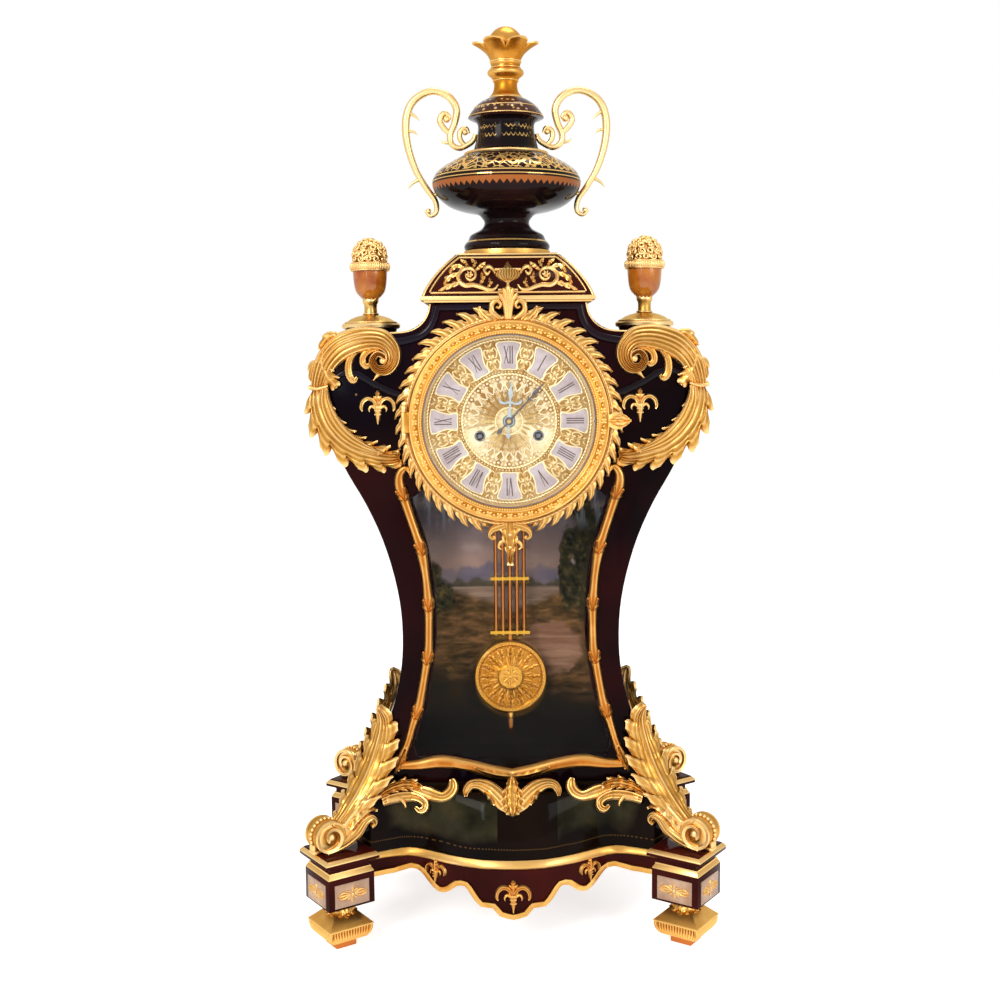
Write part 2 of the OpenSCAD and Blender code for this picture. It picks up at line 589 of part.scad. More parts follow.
module plate_shape() {
    translate([-46, dial_z - 50]) square([92, 104]);
}
module movement_front_plate() {
    color(brass) facing(front_plate_y + plate_thick, plate_thick) difference() {
        plate_shape();
        translate(centre) circle(r = 2.6);
        for (at = [third_at, escape_at, intermediate_at, [0, pivot_z]]) translate(at) circle(r = 1.05);
        for (side = [-1, 1]) translate([side * wind_x, wind_z]) circle(r = 3.1);
    }
}
module movement_back_plate() {
    color(brass) facing(back_plate_y + plate_thick, plate_thick) difference() {
        plate_shape();
        for (at = [centre, third_at, escape_at, intermediate_at]) translate(at) circle(r = 1.05);
        translate([0, pivot_z]) circle(r = 1.6);
        for (side = [-1, 1]) translate([side * wind_x, wind_z]) circle(r = 3.1);
    }
    color(brass) {
        translate([-9, back_plate_y + 2, pivot_z + 4]) cube([18, 14, 5]);
        translate([-9, -7, pivot_z - 4]) cube([18, 3, 8.2]);
        rod_y(0, pivot_z, -13, 7, 1);
        translate([-37, back_plate_y + 1.9, 479]) rotate([-90, 0, 0]) cylinder(h = 11, r = 2);
    }
}
module movement_pillars() {
    color(brass) for (x = [-40, 40], z = [dial_z - 44, dial_z + 46]) {
        rod_y(x, z, front_plate_y + plate_thick, back_plate_y - front_plate_y - plate_thick, 3);
        rod_y(x, z, front_y, front_plate_y - front_y, 2.5);
    }
}

module barrel(side, drum_y, drum_long, wheel_y) {
    color(brass) difference() {
        union() {
            rod_y(side * wind_x, wind_z, drum_y, drum_long, 21);
            gear(side * wind_x, wind_z, wheel_y, 1.6, 84, 0.6,
                side > 0 ? towards(barrel_at, intermediate_at) : 0);
            rod_y(side * wind_x, wind_z, wheel_y, 2, 22);
        }
        rod_y(side * wind_x, wind_z, drum_y - 1, 40, 3.06);
    }
}
module going_barrel() { barrel(1, -54, 24, -30.2); }
module strike_barrel() { barrel(-1, -55, 15, -40.2); }
module winding_arbor(side) {
    color(steel) {
        rod_y(side * wind_x, wind_z, -72, 54.6, 3);
        translate([side * wind_x - 1.9, -80.5, wind_z - 1.9]) cube([3.8, 8.6, 3.8]);
    }
}
module going_arbor() { winding_arbor(1); }
module strike_arbor() { winding_arbor(-1); }

module arbor(at, from, to, r = 1.2) {
    rod_y(at[0], at[1], from, to - from, r);
    rod_y(at[0], at[1], front_plate_y, back_plate_y - front_plate_y + plate_thick, 1);
}
module intermediate_wheel() {
    color(brass) {
        arbor(intermediate_at, -59.5, -20.5);
        gear(intermediate_at[0], intermediate_at[1], -32, 4.5, 12, 0.6,
            towards(intermediate_at, barrel_at) + 15);
        gear(intermediate_at[0], intermediate_at[1], -58, 1.4, 72, 0.5, towards(intermediate_at, centre));
    }
}
module centre_arbor() {
    color(steel) {
        rod_y(0, dial_z, -84.4, 64.2, 1.3);
        rod_y(0, dial_z, -20.3, 2.3, 1);
        rod_y(0, dial_z, -84.9, 13, 1.95);
        rod_y(0, dial_z, -80.5, 17.9, 2.5);
    }
    color(brass) {
        gear(0, dial_z, -59.6, 5, 12, 0.5, towards(centre, intermediate_at) + 15);
        gear(0, dial_z, -66.4, 3.6, 12, 0.5, 285);
        gear(0, dial_z, -25.5, 1.4, 90, 0.34, towards(centre, third_at));
    }
}
module third_wheel() {
    color(brass) {
        arbor(third_at, -59.5, -20.5, 1);
        gear(third_at[0], third_at[1], -27, 4.5, 10, 0.34, towards(third_at, centre) + 18);
        gear(third_at[0], third_at[1], -35.2, 1.2, 100, 0.3, towards(third_at, escape_at));
    }
}
escape_teeth = 36;
module escape_wheel() {
    color(brass) {
        arbor(escape_at, -59.5, -20.5, 1);
        gear(escape_at[0], escape_at[1], -37, 4, 10, 0.3, towards(escape_at, third_at) + 18);
        translate([0, 0, escape_at[1]]) facing(-43.6, 1.2) polygon([for (i = [0:escape_teeth - 1],
            s = [[0, 14], [0.3, 12], [0.9, 12]]) let (a = (i + s[0]) * 10) s[1] * [cos(a), sin(a)]]);
    }
}
module minute_wheel() {
    color(brass) {
        gear(0, minute_at[1], -65.6, 1.4, 36, 0.5, 90);
        gear(0, minute_at[1], -70.6, 5.4, 10, 0.48, 108);
        rod_y(0, minute_at[1], -71.4, 9.2, 1);
    }
}

module anchor() {
    color(steel) {
        rod_y(0, pivot_z, front_plate_y, 47, 1);
        facing(-42.8, 2.8) difference() {
            union() {
                for (side = [-1, 1]) polygon(band([[0, pivot_z + 1, 4], [side * 7, pivot_z - 2, 4],
                    [side * 12.5, pivot_z - 7, 3], [side * 12.6, pivot_z - 11, 2]], 3));
            }
            translate(escape_at) circle(r = 15.6);
        }
        facing(-15.2, 1.8) polygon(band([[0, pivot_z + 2, 4], [0, pivot_z - 30, 3], [0, 487, 4]], 2));
        rod_y(0, 490, -16, 10.5, 1);
    }
}

module pendulum_rods() {
    top_bar_z = 468;
    color(gilt) {
        for (i = [-2:2]) translate([i * rod_gap, pendulum_y, 286]) cylinder(h = top_bar_z - 286, r = 1.9);
        for (bar = [[346, 39.5], [289.5, 41], [top_bar_z, 36]])
            translate([-bar[1] / 2, pendulum_y - 2.6, bar[0] - 1.6]) cube([bar[1], 5.2, 3.2]);
        difference() {
            translate([-2.5, pendulum_y - 1.6, top_bar_z]) cube([5, 3.2, pivot_z - top_bar_z - 2]);
            rod_y(0, 490, -20, 20, 1.3);
        }
        difference() {
            translate([-4, pendulum_y - 0.8, pivot_z - 8]) cube([8, 1.6, 11.2]);
            rod_y(0, pivot_z, -20, 20, 1.03);
        }
        translate([-1.6, pendulum_y - 1.2, 188]) cube([3.2, 2.4, 100.4]);
    }
}
module pendulum_bob() {
    color(gilt) {
        difference() {
            turned(0, bob_z, pendulum_y + 4) polygon([[0, 0], [34, 0], [37.5, 2], [bob_r, 4], [bob_r, 7],
                [36.5, 8.4], [33.5, 8], [32, 6.6], [14, 8], [12, 9.4], [8, 9.6], [6, 8.6], [0, 9.6]]);
            translate([-1.8, pendulum_y - 1.4, 190]) cube([3.6, 2.8, 110]);
        }
        difference() {
            translate([0, pendulum_y, 197.5]) cylinder(h = 7, r = 3.4);
            translate([-1.8, pendulum_y - 1.4, 190]) cube([3.6, 2.8, 30]);
        }
        translate([0, pendulum_y + 2.6, 204]) cylinder(h = 3, r = 1);
    }
}

module strike_hammer() {
    color(brass) difference() {
        union() {
            rod_y(-37, 479, -17, 7, 4);
            facing(-10.5, 3) polygon(band([[-37, 479, 6], [-38, 500, 4], [-44, 528, 4]], 3));
            translate([-52, -12, 530]) rotate([0, 90, 0]) cylinder(h = 15, r = 4.5);
        }
        rod_y(-37, 479, -20, 14, 2.05);
    }
}
module gong_rods() {
    color(steel) {
        translate([-66, -20, 606]) cube([14, 24, 14]);
        for (y = [-12, -2]) translate([-57, y, 470]) cylinder(h = 137, r = 1.5);
    }
}

// Back door: a plate on two knuckles, with a turn button
module back_door() {
    color("#3a1c18") {
        difference() {
            translate([back_hinge_x + 3, case_y + 0.3, 209]) cube([131, 4, 342]);
            rod_y(button_x, 380, case_y - 5, 20, 2.1);
        }
        for (z = back_hinge_zs) translate([back_hinge_x, back_hinge_y + 0.3, z]) difference() {
            union() {
                cylinder(h = 20, r = 3);
                translate([0, -3, 0]) cube([6, 3, 20]);
            }
            translate([0, 0, -1]) cylinder(h = 22, r = 1.55);
        }
    }
}
module back_door_button() {
    color(brass) {
        rod_y(button_x, 380, case_y + 0.4, 9, 2.04);
        rod_y(button_x, 380, case_y + 4.4, 6, 6);
        translate([button_x - 3, case_y + 4.5, 377]) cube([22, 2.4, 6]);
    }
}

// Pediment and urn

pediment_front = [[82, 632], [79, 639], [72, 650], [62, 662], [50, 673]];
pediment_side = [[79, 632], [76, 639], [69, 650], [59, 662], [47, 673]];
module pediment() {
    color(porcelain) difference() {
        intersection() {
            facing(100, 200) polygon(both_halves(smooth(pediment_front, 3)));
            translate([-100, 0, 0]) rotate([90, 0, 90]) linear_extrude(200)
                polygon(both_halves(smooth(pediment_side, 3)));
        }
        translate([0, 0, 600]) cylinder(h = 100, d = tie_rod_d + 0.6);
    }
}
module rounded_tile(hx, hy, low, high) { translate([-hx, -hy, low]) cube([2 * hx, 2 * hy, high - low]); }
module pediment_mouldings() {
    color(gilt) {
        difference() {
            union() {
                rounded_tile(81, 80, neck_z, neck_z + 2);
                rounded_tile(84, 82, neck_z + 2, 632);
            }
            translate([0, 0, neck_z - 1]) cylinder(h = 10, d = tie_rod_d + 0.6);
        }
        difference() {
            union() {
                rounded_tile(49, 46, 673, 675);
                translate([0, 0, 675]) cylinder(h = 5, r = 43.5);
            }
            translate([0, 0, 670]) cylinder(h = 20, d = tie_rod_d + 0.6);
        }
    }
}

urn_outline = [[41, 680], [43, 682], [43, 686], [39, 691], [36.5, 696], [26, 702], [22.5, 708], [25, 713],
    [30, 717], [44, 720], [56, 724], [65, 730], [72, 738], [belly_r, 748], [71, 757], [64, 763],
    [54, 769], [44, 774], [40, 776], [33, 779], [30, 786], [29.5, 794], [30.5, 805], [33, 810]];
module urn_body() {
    color(porcelain) rotate_extrude() polygon(concat(smooth(urn_outline, 2),
        [[tie_rod_d / 2 + 0.3, 810], [tie_rod_d / 2 + 0.3, 680]]));
}
module urn_lid() {
    bore = tie_rod_d / 2 + 0.3;
    color(porcelain) rotate_extrude() polygon(concat([[bore, 810], [35, 810], [38, 811.5]],
        smooth([[38, 811.5], [35, 817], [30, 823], [23, 828], [16, 831]], 2), [[bore, 831]]));
}
module urn_finial() {
    color(gilt) {
        rotate_extrude() polygon(concat([[tie_rod_d / 2, 831], [16, 831]],
            smooth([[14, 834], [9.5, 839], [9, 843], [11, 849], [16, 855], [18, 858.5], [14, 862],
                [13.5, 866], [17, 871], [21, 875]], 2), [[17, 884], [0, 884], [0, 853], [tie_rod_d / 2, 853]]));
        intersection() {
            translate([0, 0, 882.6]) sphere(r = 17.4);
            translate([-20, -20, 870]) cube([40, 40, 40]);
        }
        intersection() {
            rotate_extrude() polygon([[12, 868], [18, 870.5], [24, 875], [29, 880.5], [33.5, 882],
                [33.5, 884], [28, 885.5], [22, 881.5], [16, 876], [12, 874]]);
            union() for (turn = [0:45:315]) rotate([0, 0, turn]) translate([20, 0, 860])
                cylinder(h = 30, r = 13.5);
        }
    }
}

// Scroll handles: a long band, an inner volute, a small volute and a few thorns
handle_main = [[82, 721, 2.4], [77, 716, 3.2], [71, 720, 3.8], [72, 731, 4.2], [81, 744, 4.6],
    [91.5, 762, 5], [99, 786, 5.6], [100.5, 808, 6], [95.5, 825, 6], [84.5, 835, 5.6], [71, 838.5, 5.6],
    [57, 833, 5.6], [49.5, 821, 5.6], [51.5, 807, 5.2], [56, 796, 5], [55, 787, 4.6], [47, 782.5, 4.2],
    [38, 786, 4.2], [29, 796, 4.4]];
handle_volutes = [[[55, 796, 4], [62, 802, 4.4], [66.5, 810, 4.4], [62, 817, 4], [56.5, 813, 3],
    [59, 809, 2]], [[40, 784, 3], [46, 791, 4], [46, 799, 4], [40, 802, 3.4], [37.5, 797, 2.6]]];
handle_thorns = [[[97, 818, 3], [91, 814, 2.4], [87, 810, 1.4]], [[99, 800, 3], [93, 799, 2.4],
    [89, 796, 1.4]], [[88, 752, 3], [95, 748, 2.4], [99, 743, 1.4]], [[56, 788, 3], [62, 788, 2.4],
    [66, 791, 1.4]]];
module urn_handle(side) {
    color(gilt) mirror([side, 0, 0]) {
        facing(3, 6) polygon(band(handle_main, 3));
        for (route = concat(handle_volutes, handle_thorns)) facing(2, 4) polygon(band(route, 2));
        translate([66, 0, 737]) rotate([0, 90, 0]) cylinder(h = 9, r = 1.8);
    }
}
module urn_handle_left() { urn_handle(1); }
module urn_handle_right() { urn_handle(0); }

module tie_rod() {
    color(steel) {
        translate([0, 0, neck_z - 14]) cylinder(h = 853 - neck_z + 14, d = tie_rod_d);
        translate([0, 0, neck_z - 12]) cylinder(h = 6, r = 7, $fn = 6);
    }
}

feet();
corner_blocks();
block_rims();
block_plaques();
base_board();
base_skirt();
base_moulding();
apron();
apron_edging();
apron_fleurs();
console_front_left();
console_front_right();
console_back_left();
console_back_right();
base_cartouche();
case_body();
window_frame();
window_glass();
painted_panel();
shoulder_mount_left();
shoulder_mount_right();
shoulder_fleurs();
finial_bases();
finial_cups();
finial_flowers();
bezel_surround();
bezel_ring();
bezel_glass();
hinge_pins();
dial_plate();
dial_cartouches();
back_door();
back_door_button();
pediment();
pediment_mouldings();
urn_body();
urn_lid();
urn_finial();
urn_handle_left();
urn_handle_right();
tie_rod();
hour_hand();
minute_hand();
movement_front_plate();
movement_back_plate();
movement_pillars();
going_barrel();
strike_barrel();
going_arbor();
strike_arbor();
intermediate_wheel();
centre_arbor();
third_wheel();
escape_wheel();
minute_wheel();
anchor();
pendulum_rods();
pendulum_bob();
strike_hammer();
gong_rods();
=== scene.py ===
"""Looks of the porcelain mantel clock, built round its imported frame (metres, +Z up, front -Y)."""
import math

import bpy
import numpy as np
from mathutils import Matrix, Vector


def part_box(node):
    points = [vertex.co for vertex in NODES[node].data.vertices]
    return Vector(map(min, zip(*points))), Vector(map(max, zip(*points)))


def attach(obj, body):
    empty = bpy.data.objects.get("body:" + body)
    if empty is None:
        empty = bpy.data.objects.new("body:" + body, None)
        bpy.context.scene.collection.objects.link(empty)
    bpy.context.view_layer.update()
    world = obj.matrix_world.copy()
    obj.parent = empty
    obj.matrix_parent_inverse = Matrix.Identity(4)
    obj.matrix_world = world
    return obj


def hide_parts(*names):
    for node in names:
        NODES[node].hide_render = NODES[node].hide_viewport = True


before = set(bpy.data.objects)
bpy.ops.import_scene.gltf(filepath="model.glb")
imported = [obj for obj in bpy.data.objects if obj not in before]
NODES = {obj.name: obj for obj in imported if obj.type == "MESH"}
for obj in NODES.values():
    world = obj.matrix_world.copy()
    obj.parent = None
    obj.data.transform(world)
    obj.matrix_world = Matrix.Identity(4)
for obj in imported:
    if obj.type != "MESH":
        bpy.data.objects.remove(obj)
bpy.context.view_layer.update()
MM = 0.001


def middle(node):
    """Centre of a frame node's box, in millimetres."""
    low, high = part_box(node)
    return np.array((low + high) / 2) / MM


# Places taken from the frame, in millimetres
DIAL_Z = middle("bezel_glass")[2]
# Front face of the case at the dial and round the window
CASE_FRONT = -76.0
BOB_X = middle("pendulum_bob")[0]
BOB_Z = 243.0
FINIAL_X, FINIAL_Y = 138.3, -10.0
# Middle of the back right corner block, and its turn about the upright
BLOCK = (170.15, 108.95)
BLOCK_TURN = math.radians(34.6)
CAP_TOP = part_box("corner_blocks")[1][2] / MM
SKIRT_EDGE_Z = 147.0
CROSSBAR_ZS = (289.5, 346, 468)


# Mesh tools

def lone(obj):
    """Makes obj the only selected and the active object."""
    for other in bpy.context.selected_objects:
        other.select_set(False)
    obj.select_set(True)
    bpy.context.view_layer.objects.active = obj
    return obj


def places(obj):
    """Vertex coordinates of obj in millimetres."""
    co = np.empty(len(obj.data.vertices) * 3)
    obj.data.vertices.foreach_get("co", co)
    return co.reshape(-1, 3) / MM


def put(obj, co):
    """Sets the vertex coordinates of obj, given in millimetres."""
    obj.data.vertices.foreach_set("co", (np.asarray(co) * MM).ravel())
    obj.data.update()
    return obj


def use(obj, kind, **settings):
    """Adds a modifier with its settings and applies it."""
    lone(obj)
    modifier = obj.modifiers.new(kind.title(), kind)
    for key, value in settings.items():
        setattr(modifier, key, value)
    bpy.ops.object.modifier_apply(modifier=modifier.name)
    return obj


def link(name, data):
    """New object of that name in the scene, the only selected one."""
    obj = bpy.data.objects.new(name, data)
    bpy.context.collection.objects.link(obj)
    return lone(obj)


def from_points(name, spots, edges=(), faces=()):
    """New object from its vertices in millimetres, its edges and its faces."""
    mesh = bpy.data.meshes.new(name)
    mesh.from_pydata([tuple(v * MM for v in spot) for spot in spots], edges, faces)
    return link(name, mesh)


def mend(obj):
    """Merges doubled vertices and turns all faces outwards."""
    lone(obj)
    bpy.ops.object.mode_set(mode="EDIT")
    bpy.ops.mesh.select_all(action="SELECT")
    bpy.ops.mesh.remove_doubles(threshold=0.01 * MM)
    bpy.ops.mesh.normals_make_consistent(inside=False)
    bpy.ops.object.mode_set(mode="OBJECT")
    return obj


def curve_through(rows, count):
    """Points of the smooth curve through the rows, at count even steps of its parameter."""
    p = np.vstack([2 * rows[0] - rows[1], rows, 2 * rows[-1] - rows[-2]])
    t = np.linspace(0, len(rows) - 1 - 1e-9, count)
    i = t.astype(int)
    f = (t - i)[:, None]
    a, b, c, d = p[i], p[i + 1], p[i + 2], p[i + 3]
    return 0.5 * (2 * b + (c - a) * f + (2 * a - 5 * b + 4 * c - d) * f ** 2
                  + (3 * b - a - 3 * c + d) * f ** 3)


def smooth_run(points, count):
    """Smooth curve through the points, as count rows an equal way apart."""
    run = curve_through(np.array(points, float), len(points) * 16)
    way = np.concatenate([[0], np.cumsum(np.linalg.norm(np.diff(run[:, :2], axis=0), axis=1))])
    even = np.linspace(0, way[-1], count)
    return np.column_stack([np.interp(even, way, run[:, k]) for k in range(run.shape[1])])


def unit(rows):
    """Each row scaled to length one."""
    return rows / np.maximum(np.linalg.norm(rows, axis=1, keepdims=True), 1e-9)


def front_plane(y=CASE_FRONT, side=1, x=0.0, z=0.0):
    """Flat drawing plane [across, up] facing forwards at depth y, mirrored when side is -1."""
    return np.array([x, y, z]), np.array([side, 0, 0.0]), np.array([0, 0, 1.0]), np.array([0, -1.0, 0])


def strip(route, plane, form, along=40, across=8, thick=1.2):
    """Cast strip laid along a route of [across, up, half width] or [across, up, half width, lift] points.
    form gives width factor, forward shift and height for its way along and its side position."""
    origin, a_axis, b_axis, out = plane
    run = smooth_run(route, along + 1)
    spine = origin + run[:, :1] * a_axis + run[:, 1:2] * b_axis
    if run.shape[1] > 3:
        spine = spine + run[:, 3:4] * out
    way = unit(np.gradient(spine, axis=0))
    side = unit(np.cross(out, way))
    rise = np.cross(way, side)
    return laid(spine, way, side, rise, run[:, 2], form, along, across, thick)


def laid(spine, way, side, rise, half, form, along, across, thick):
    """Grid laid on a run of places and directions, shaped by form and given its thickness."""
    bpy.ops.mesh.primitive_grid_add(x_subdivisions=along, y_subdivisions=across, size=2)
    obj = bpy.context.object
    grid = places(obj) * MM
    row = np.rint((grid[:, 0] + 1) / 2 * along).astype(int)
    u, v = row / along, grid[:, 1]
    width, forward, height = form(u, v)
    h = half[row]
    co = (spine[row] + side[row] * (h * width)[:, None] + way[row] * (h * forward)[:, None]
          + rise[row] * height[:, None])
    put(obj, co)
    faces = obj.data.polygons
    turned = sum((Vector(rise[row[f.vertices[0]]]).dot(f.normal)) * f.area for f in faces)
    if turned < 0:
        obj.data.flip_normals()
    if thick:
        use(obj, "SOLIDIFY", thickness=thick * MM, offset=-1, use_rim=True)
    return obj


def leaf(lobes=6, notch=0.42, lean=0.7, crown=3.0, vein=0.7, curl=0.0, rib=0.8, strands=0):
    """Acanthus leaf: lobed edges that lean to the tip, a vein to each lobe and a midrib."""
    def form(u, v):
        p = (u * lobes) % 1
        lobe = np.where(p < 0.68, np.sin(np.pi / 2 * p / 0.68), np.cos(np.pi / 2 * (p - 0.68) / 0.32))
        lobe = np.clip(lobe, 0, 1) ** 0.8
        teeth = 0.06 * np.abs(np.sin(3 * np.pi * p))
        reach = np.abs(v)
        width = v * (1 - (notch * (1 - lobe) + teeth) * reach ** 1.5)
        forward = lean * reach ** 1.6 * (0.4 + 0.6 * lobe)
        height = (crown * (1 - v * v) + vein * np.cos(2 * np.pi * (p - 0.6)) * reach ** 0.8
                  + rib * np.exp(-(v / 0.13) ** 2) + curl * reach ** 3)
        if strands:
            height = height + vein * 0.7 * np.cos(np.pi * strands * v) * (1 - reach ** 4)
        return width, forward, height
    return form


def strands(count=5, crown=3.0, depth=0.8, edge=0.0):
    """Fluted band: count rounded strands that run its length."""
    def form(u, v):
        ripple = np.abs(np.cos(np.pi * count * (v + 1) / 2))
        return v, 0 * u, crown * np.sqrt(np.clip(1 - v * v, 0, 1)) - depth * ripple + edge * np.abs(v) ** 4
    return form


def rounded(crown=2.0, hollow=0.0):
    """Half-round band, hollowed along its middle when hollow is given."""
    def form(u, v):
        height = crown * np.sqrt(np.clip(1 - v * v, 0, 1)) - hollow * np.exp(-(v / 0.35) ** 2)
        return v, 0 * u, height
    return form


def rod(points, radii, step=2.2):
    """Round rod along the points [x, y, z], with a radius at each."""
    rows = np.column_stack([np.array(points, float), np.array(radii, float)])
    length = np.linalg.norm(np.diff(rows[:, :3], axis=0), axis=1).sum()
    run = curve_through(rows, max(8, int(length / step)))
    curve = bpy.data.curves.new("rod", "CURVE")
    curve.dimensions = "3D"
    curve.bevel_depth = 1.0
    curve.bevel_resolution = 2
    curve.use_fill_caps = True
    spline = curve.splines.new("POLY")
    spline.points.add(len(run) - 1)
    for point, (x, y, z, r) in zip(spline.points, run):
        point.co = (x * MM, y * MM, z * MM, 1)
        point.radius = r * MM
    link("rod", curve)
    bpy.ops.object.convert(target="MESH")
    return bpy.context.object


def lathe(profile, steps=96, centre=(0, 0, 0), axis="Z", closed=False):
    """Round piece from a profile of [radius, height] points, about an upright or a fore-and-aft axis.
    With axis Y the height counts towards the viewer."""
    last = len(profile) - 1
    edges = [(i, i + 1) for i in range(last)] + ([(last, 0)] if closed else [])
    obj = from_points("lathe", [(r, 0, h) for r, h in profile], edges)
    bpy.ops.object.mode_set(mode="EDIT")
    bpy.ops.mesh.select_all(action="SELECT")
    bpy.ops.mesh.spin(steps=steps, angle=2 * math.pi, center=(0, 0, 0), axis=(0, 0, 1))
    bpy.ops.object.mode_set(mode="OBJECT")
    mend(obj)
    co = places(obj)
    if axis == "Y":
        co = np.column_stack([co[:, 0], -co[:, 2], co[:, 1]])
    return put(obj, co + np.array(centre))


def moved(obj, matrix):
    """Moves obj's mesh by a matrix and turns its faces back out if the matrix mirrors it."""
    obj.data.transform(matrix)
    if matrix.determinant() < 0:
        obj.data.flip_normals()
    return obj


def copied(obj):
    """Copy of obj with its own mesh."""
    copy = obj.copy()
    copy.data = obj.data.copy()
    bpy.context.collection.objects.link(copy)
    return copy


def twin(obj, matrix):
    """Copy of obj with its own mesh, moved by the matrix."""
    return moved(copied(obj), matrix)


MIRROR_X = Matrix.Scale(-1, 4, (1, 0, 0))
MIRROR_Y = Matrix.Scale(-1, 4, (0, 1, 0))
MIRROR_BOTH = MIRROR_X @ MIRROR_Y


def shift(x=0.0, y=0.0, z=0.0):
    """Matrix that moves by so many millimetres."""
    return Matrix.Translation((x * MM, y * MM, z * MM))


def upright(degrees):
    """Matrix that turns about the clock's upright axis."""
    return Matrix.Rotation(math.radians(degrees), 4, "Z")


def in_four(obj):
    """obj and its three mirror images."""
    return [obj] + [twin(obj, mirror) for mirror in (MIRROR_X, MIRROR_Y, MIRROR_BOTH)]


def joined(parts):
    """All parts as one object."""
    lone(parts[0])
    for part in parts[1:]:
        part.select_set(True)
    if len(parts) > 1:
        bpy.ops.object.join()
    return bpy.context.object


def bead(radius, segments=8, rings=5, flat=1.0):
    """Small round bead at the origin, flattened fore and aft."""
    bpy.ops.mesh.primitive_uv_sphere_add(segments=segments, ring_count=rings, radius=radius * MM)
    return moved(bpy.context.object, Matrix.Diagonal((1, flat, 1, 1)))


def beads(spots, radius, segments=8, rings=5, flat=1.0):
    """One bead on each spot."""
    first = bead(radius, segments, rings, flat)
    made = [twin(first, Matrix.Translation(Vector(spot) * MM)) for spot in spots]
    bpy.data.objects.remove(first)
    return made


def box(low, high, edge=0.3):
    """Plain block between two corners, its edges softened."""
    bpy.ops.mesh.primitive_cube_add(size=1)
    obj = bpy.context.object
    low, high = np.array(low, float), np.array(high, float)
    put(obj, places(obj) * MM * (high - low) + (low + high) / 2)
    return use(obj, "BEVEL", width=edge * MM, segments=2)


def piece(parts, name, material, body="clock_body", stands_for=(), sharp=40):
    """Joins parts to one finished piece of the clock; stands_for names the frame nodes that it replaces."""
    obj = joined(parts if isinstance(parts, list) else [parts])
    obj.name = obj.data.name = name
    obj.data.materials.clear()
    obj.data.materials.append(material)
    lone(obj)
    bpy.ops.object.shade_smooth_by_angle(angle=math.radians(sharp))
    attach(obj, body)
    if stands_for:
        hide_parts(*stands_for)
    return obj


def dressed(node, name, material, edge, body="clock_body", segments=2):
    """Copy of a frame node with softened edges and smooth curved sides, which stands for it."""
    sharp = 32
    obj = copied(NODES[node])
    for key in list(obj.keys()):
        del obj[key]
    obj.parent = None
    obj.matrix_world = Matrix.Identity(4)
    lone(obj)
    bpy.ops.object.mode_set(mode="EDIT")
    bpy.ops.mesh.select_all(action="SELECT")
    bpy.ops.mesh.remove_doubles(threshold=0.02 * MM)
    bpy.ops.mesh.dissolve_limited(angle_limit=math.radians(0.5))
    bpy.ops.object.mode_set(mode="OBJECT")
    use(obj, "BEVEL", width=edge * MM, segments=segments, limit_method="ANGLE",
        angle_limit=math.radians(sharp), use_clamp_overlap=True, harden_normals=False)
    return piece(obj, name, material, body, (node,), sharp)


# Surface patterns, each a node group that several materials use

def new_group(name, inputs, outputs):
    """New node group with its named inputs [label, kind, value] and outputs [label, kind]."""
    group = bpy.data.node_groups.new(name, "ShaderNodeTree")
    for label, kind, value in inputs:
        group.interface.new_socket(name=label, in_out="INPUT", socket_type=kind).default_value = value
    for label, kind in outputs:
        group.interface.new_socket(name=label, in_out="OUTPUT", socket_type=kind)
    return group, Nodes(group)


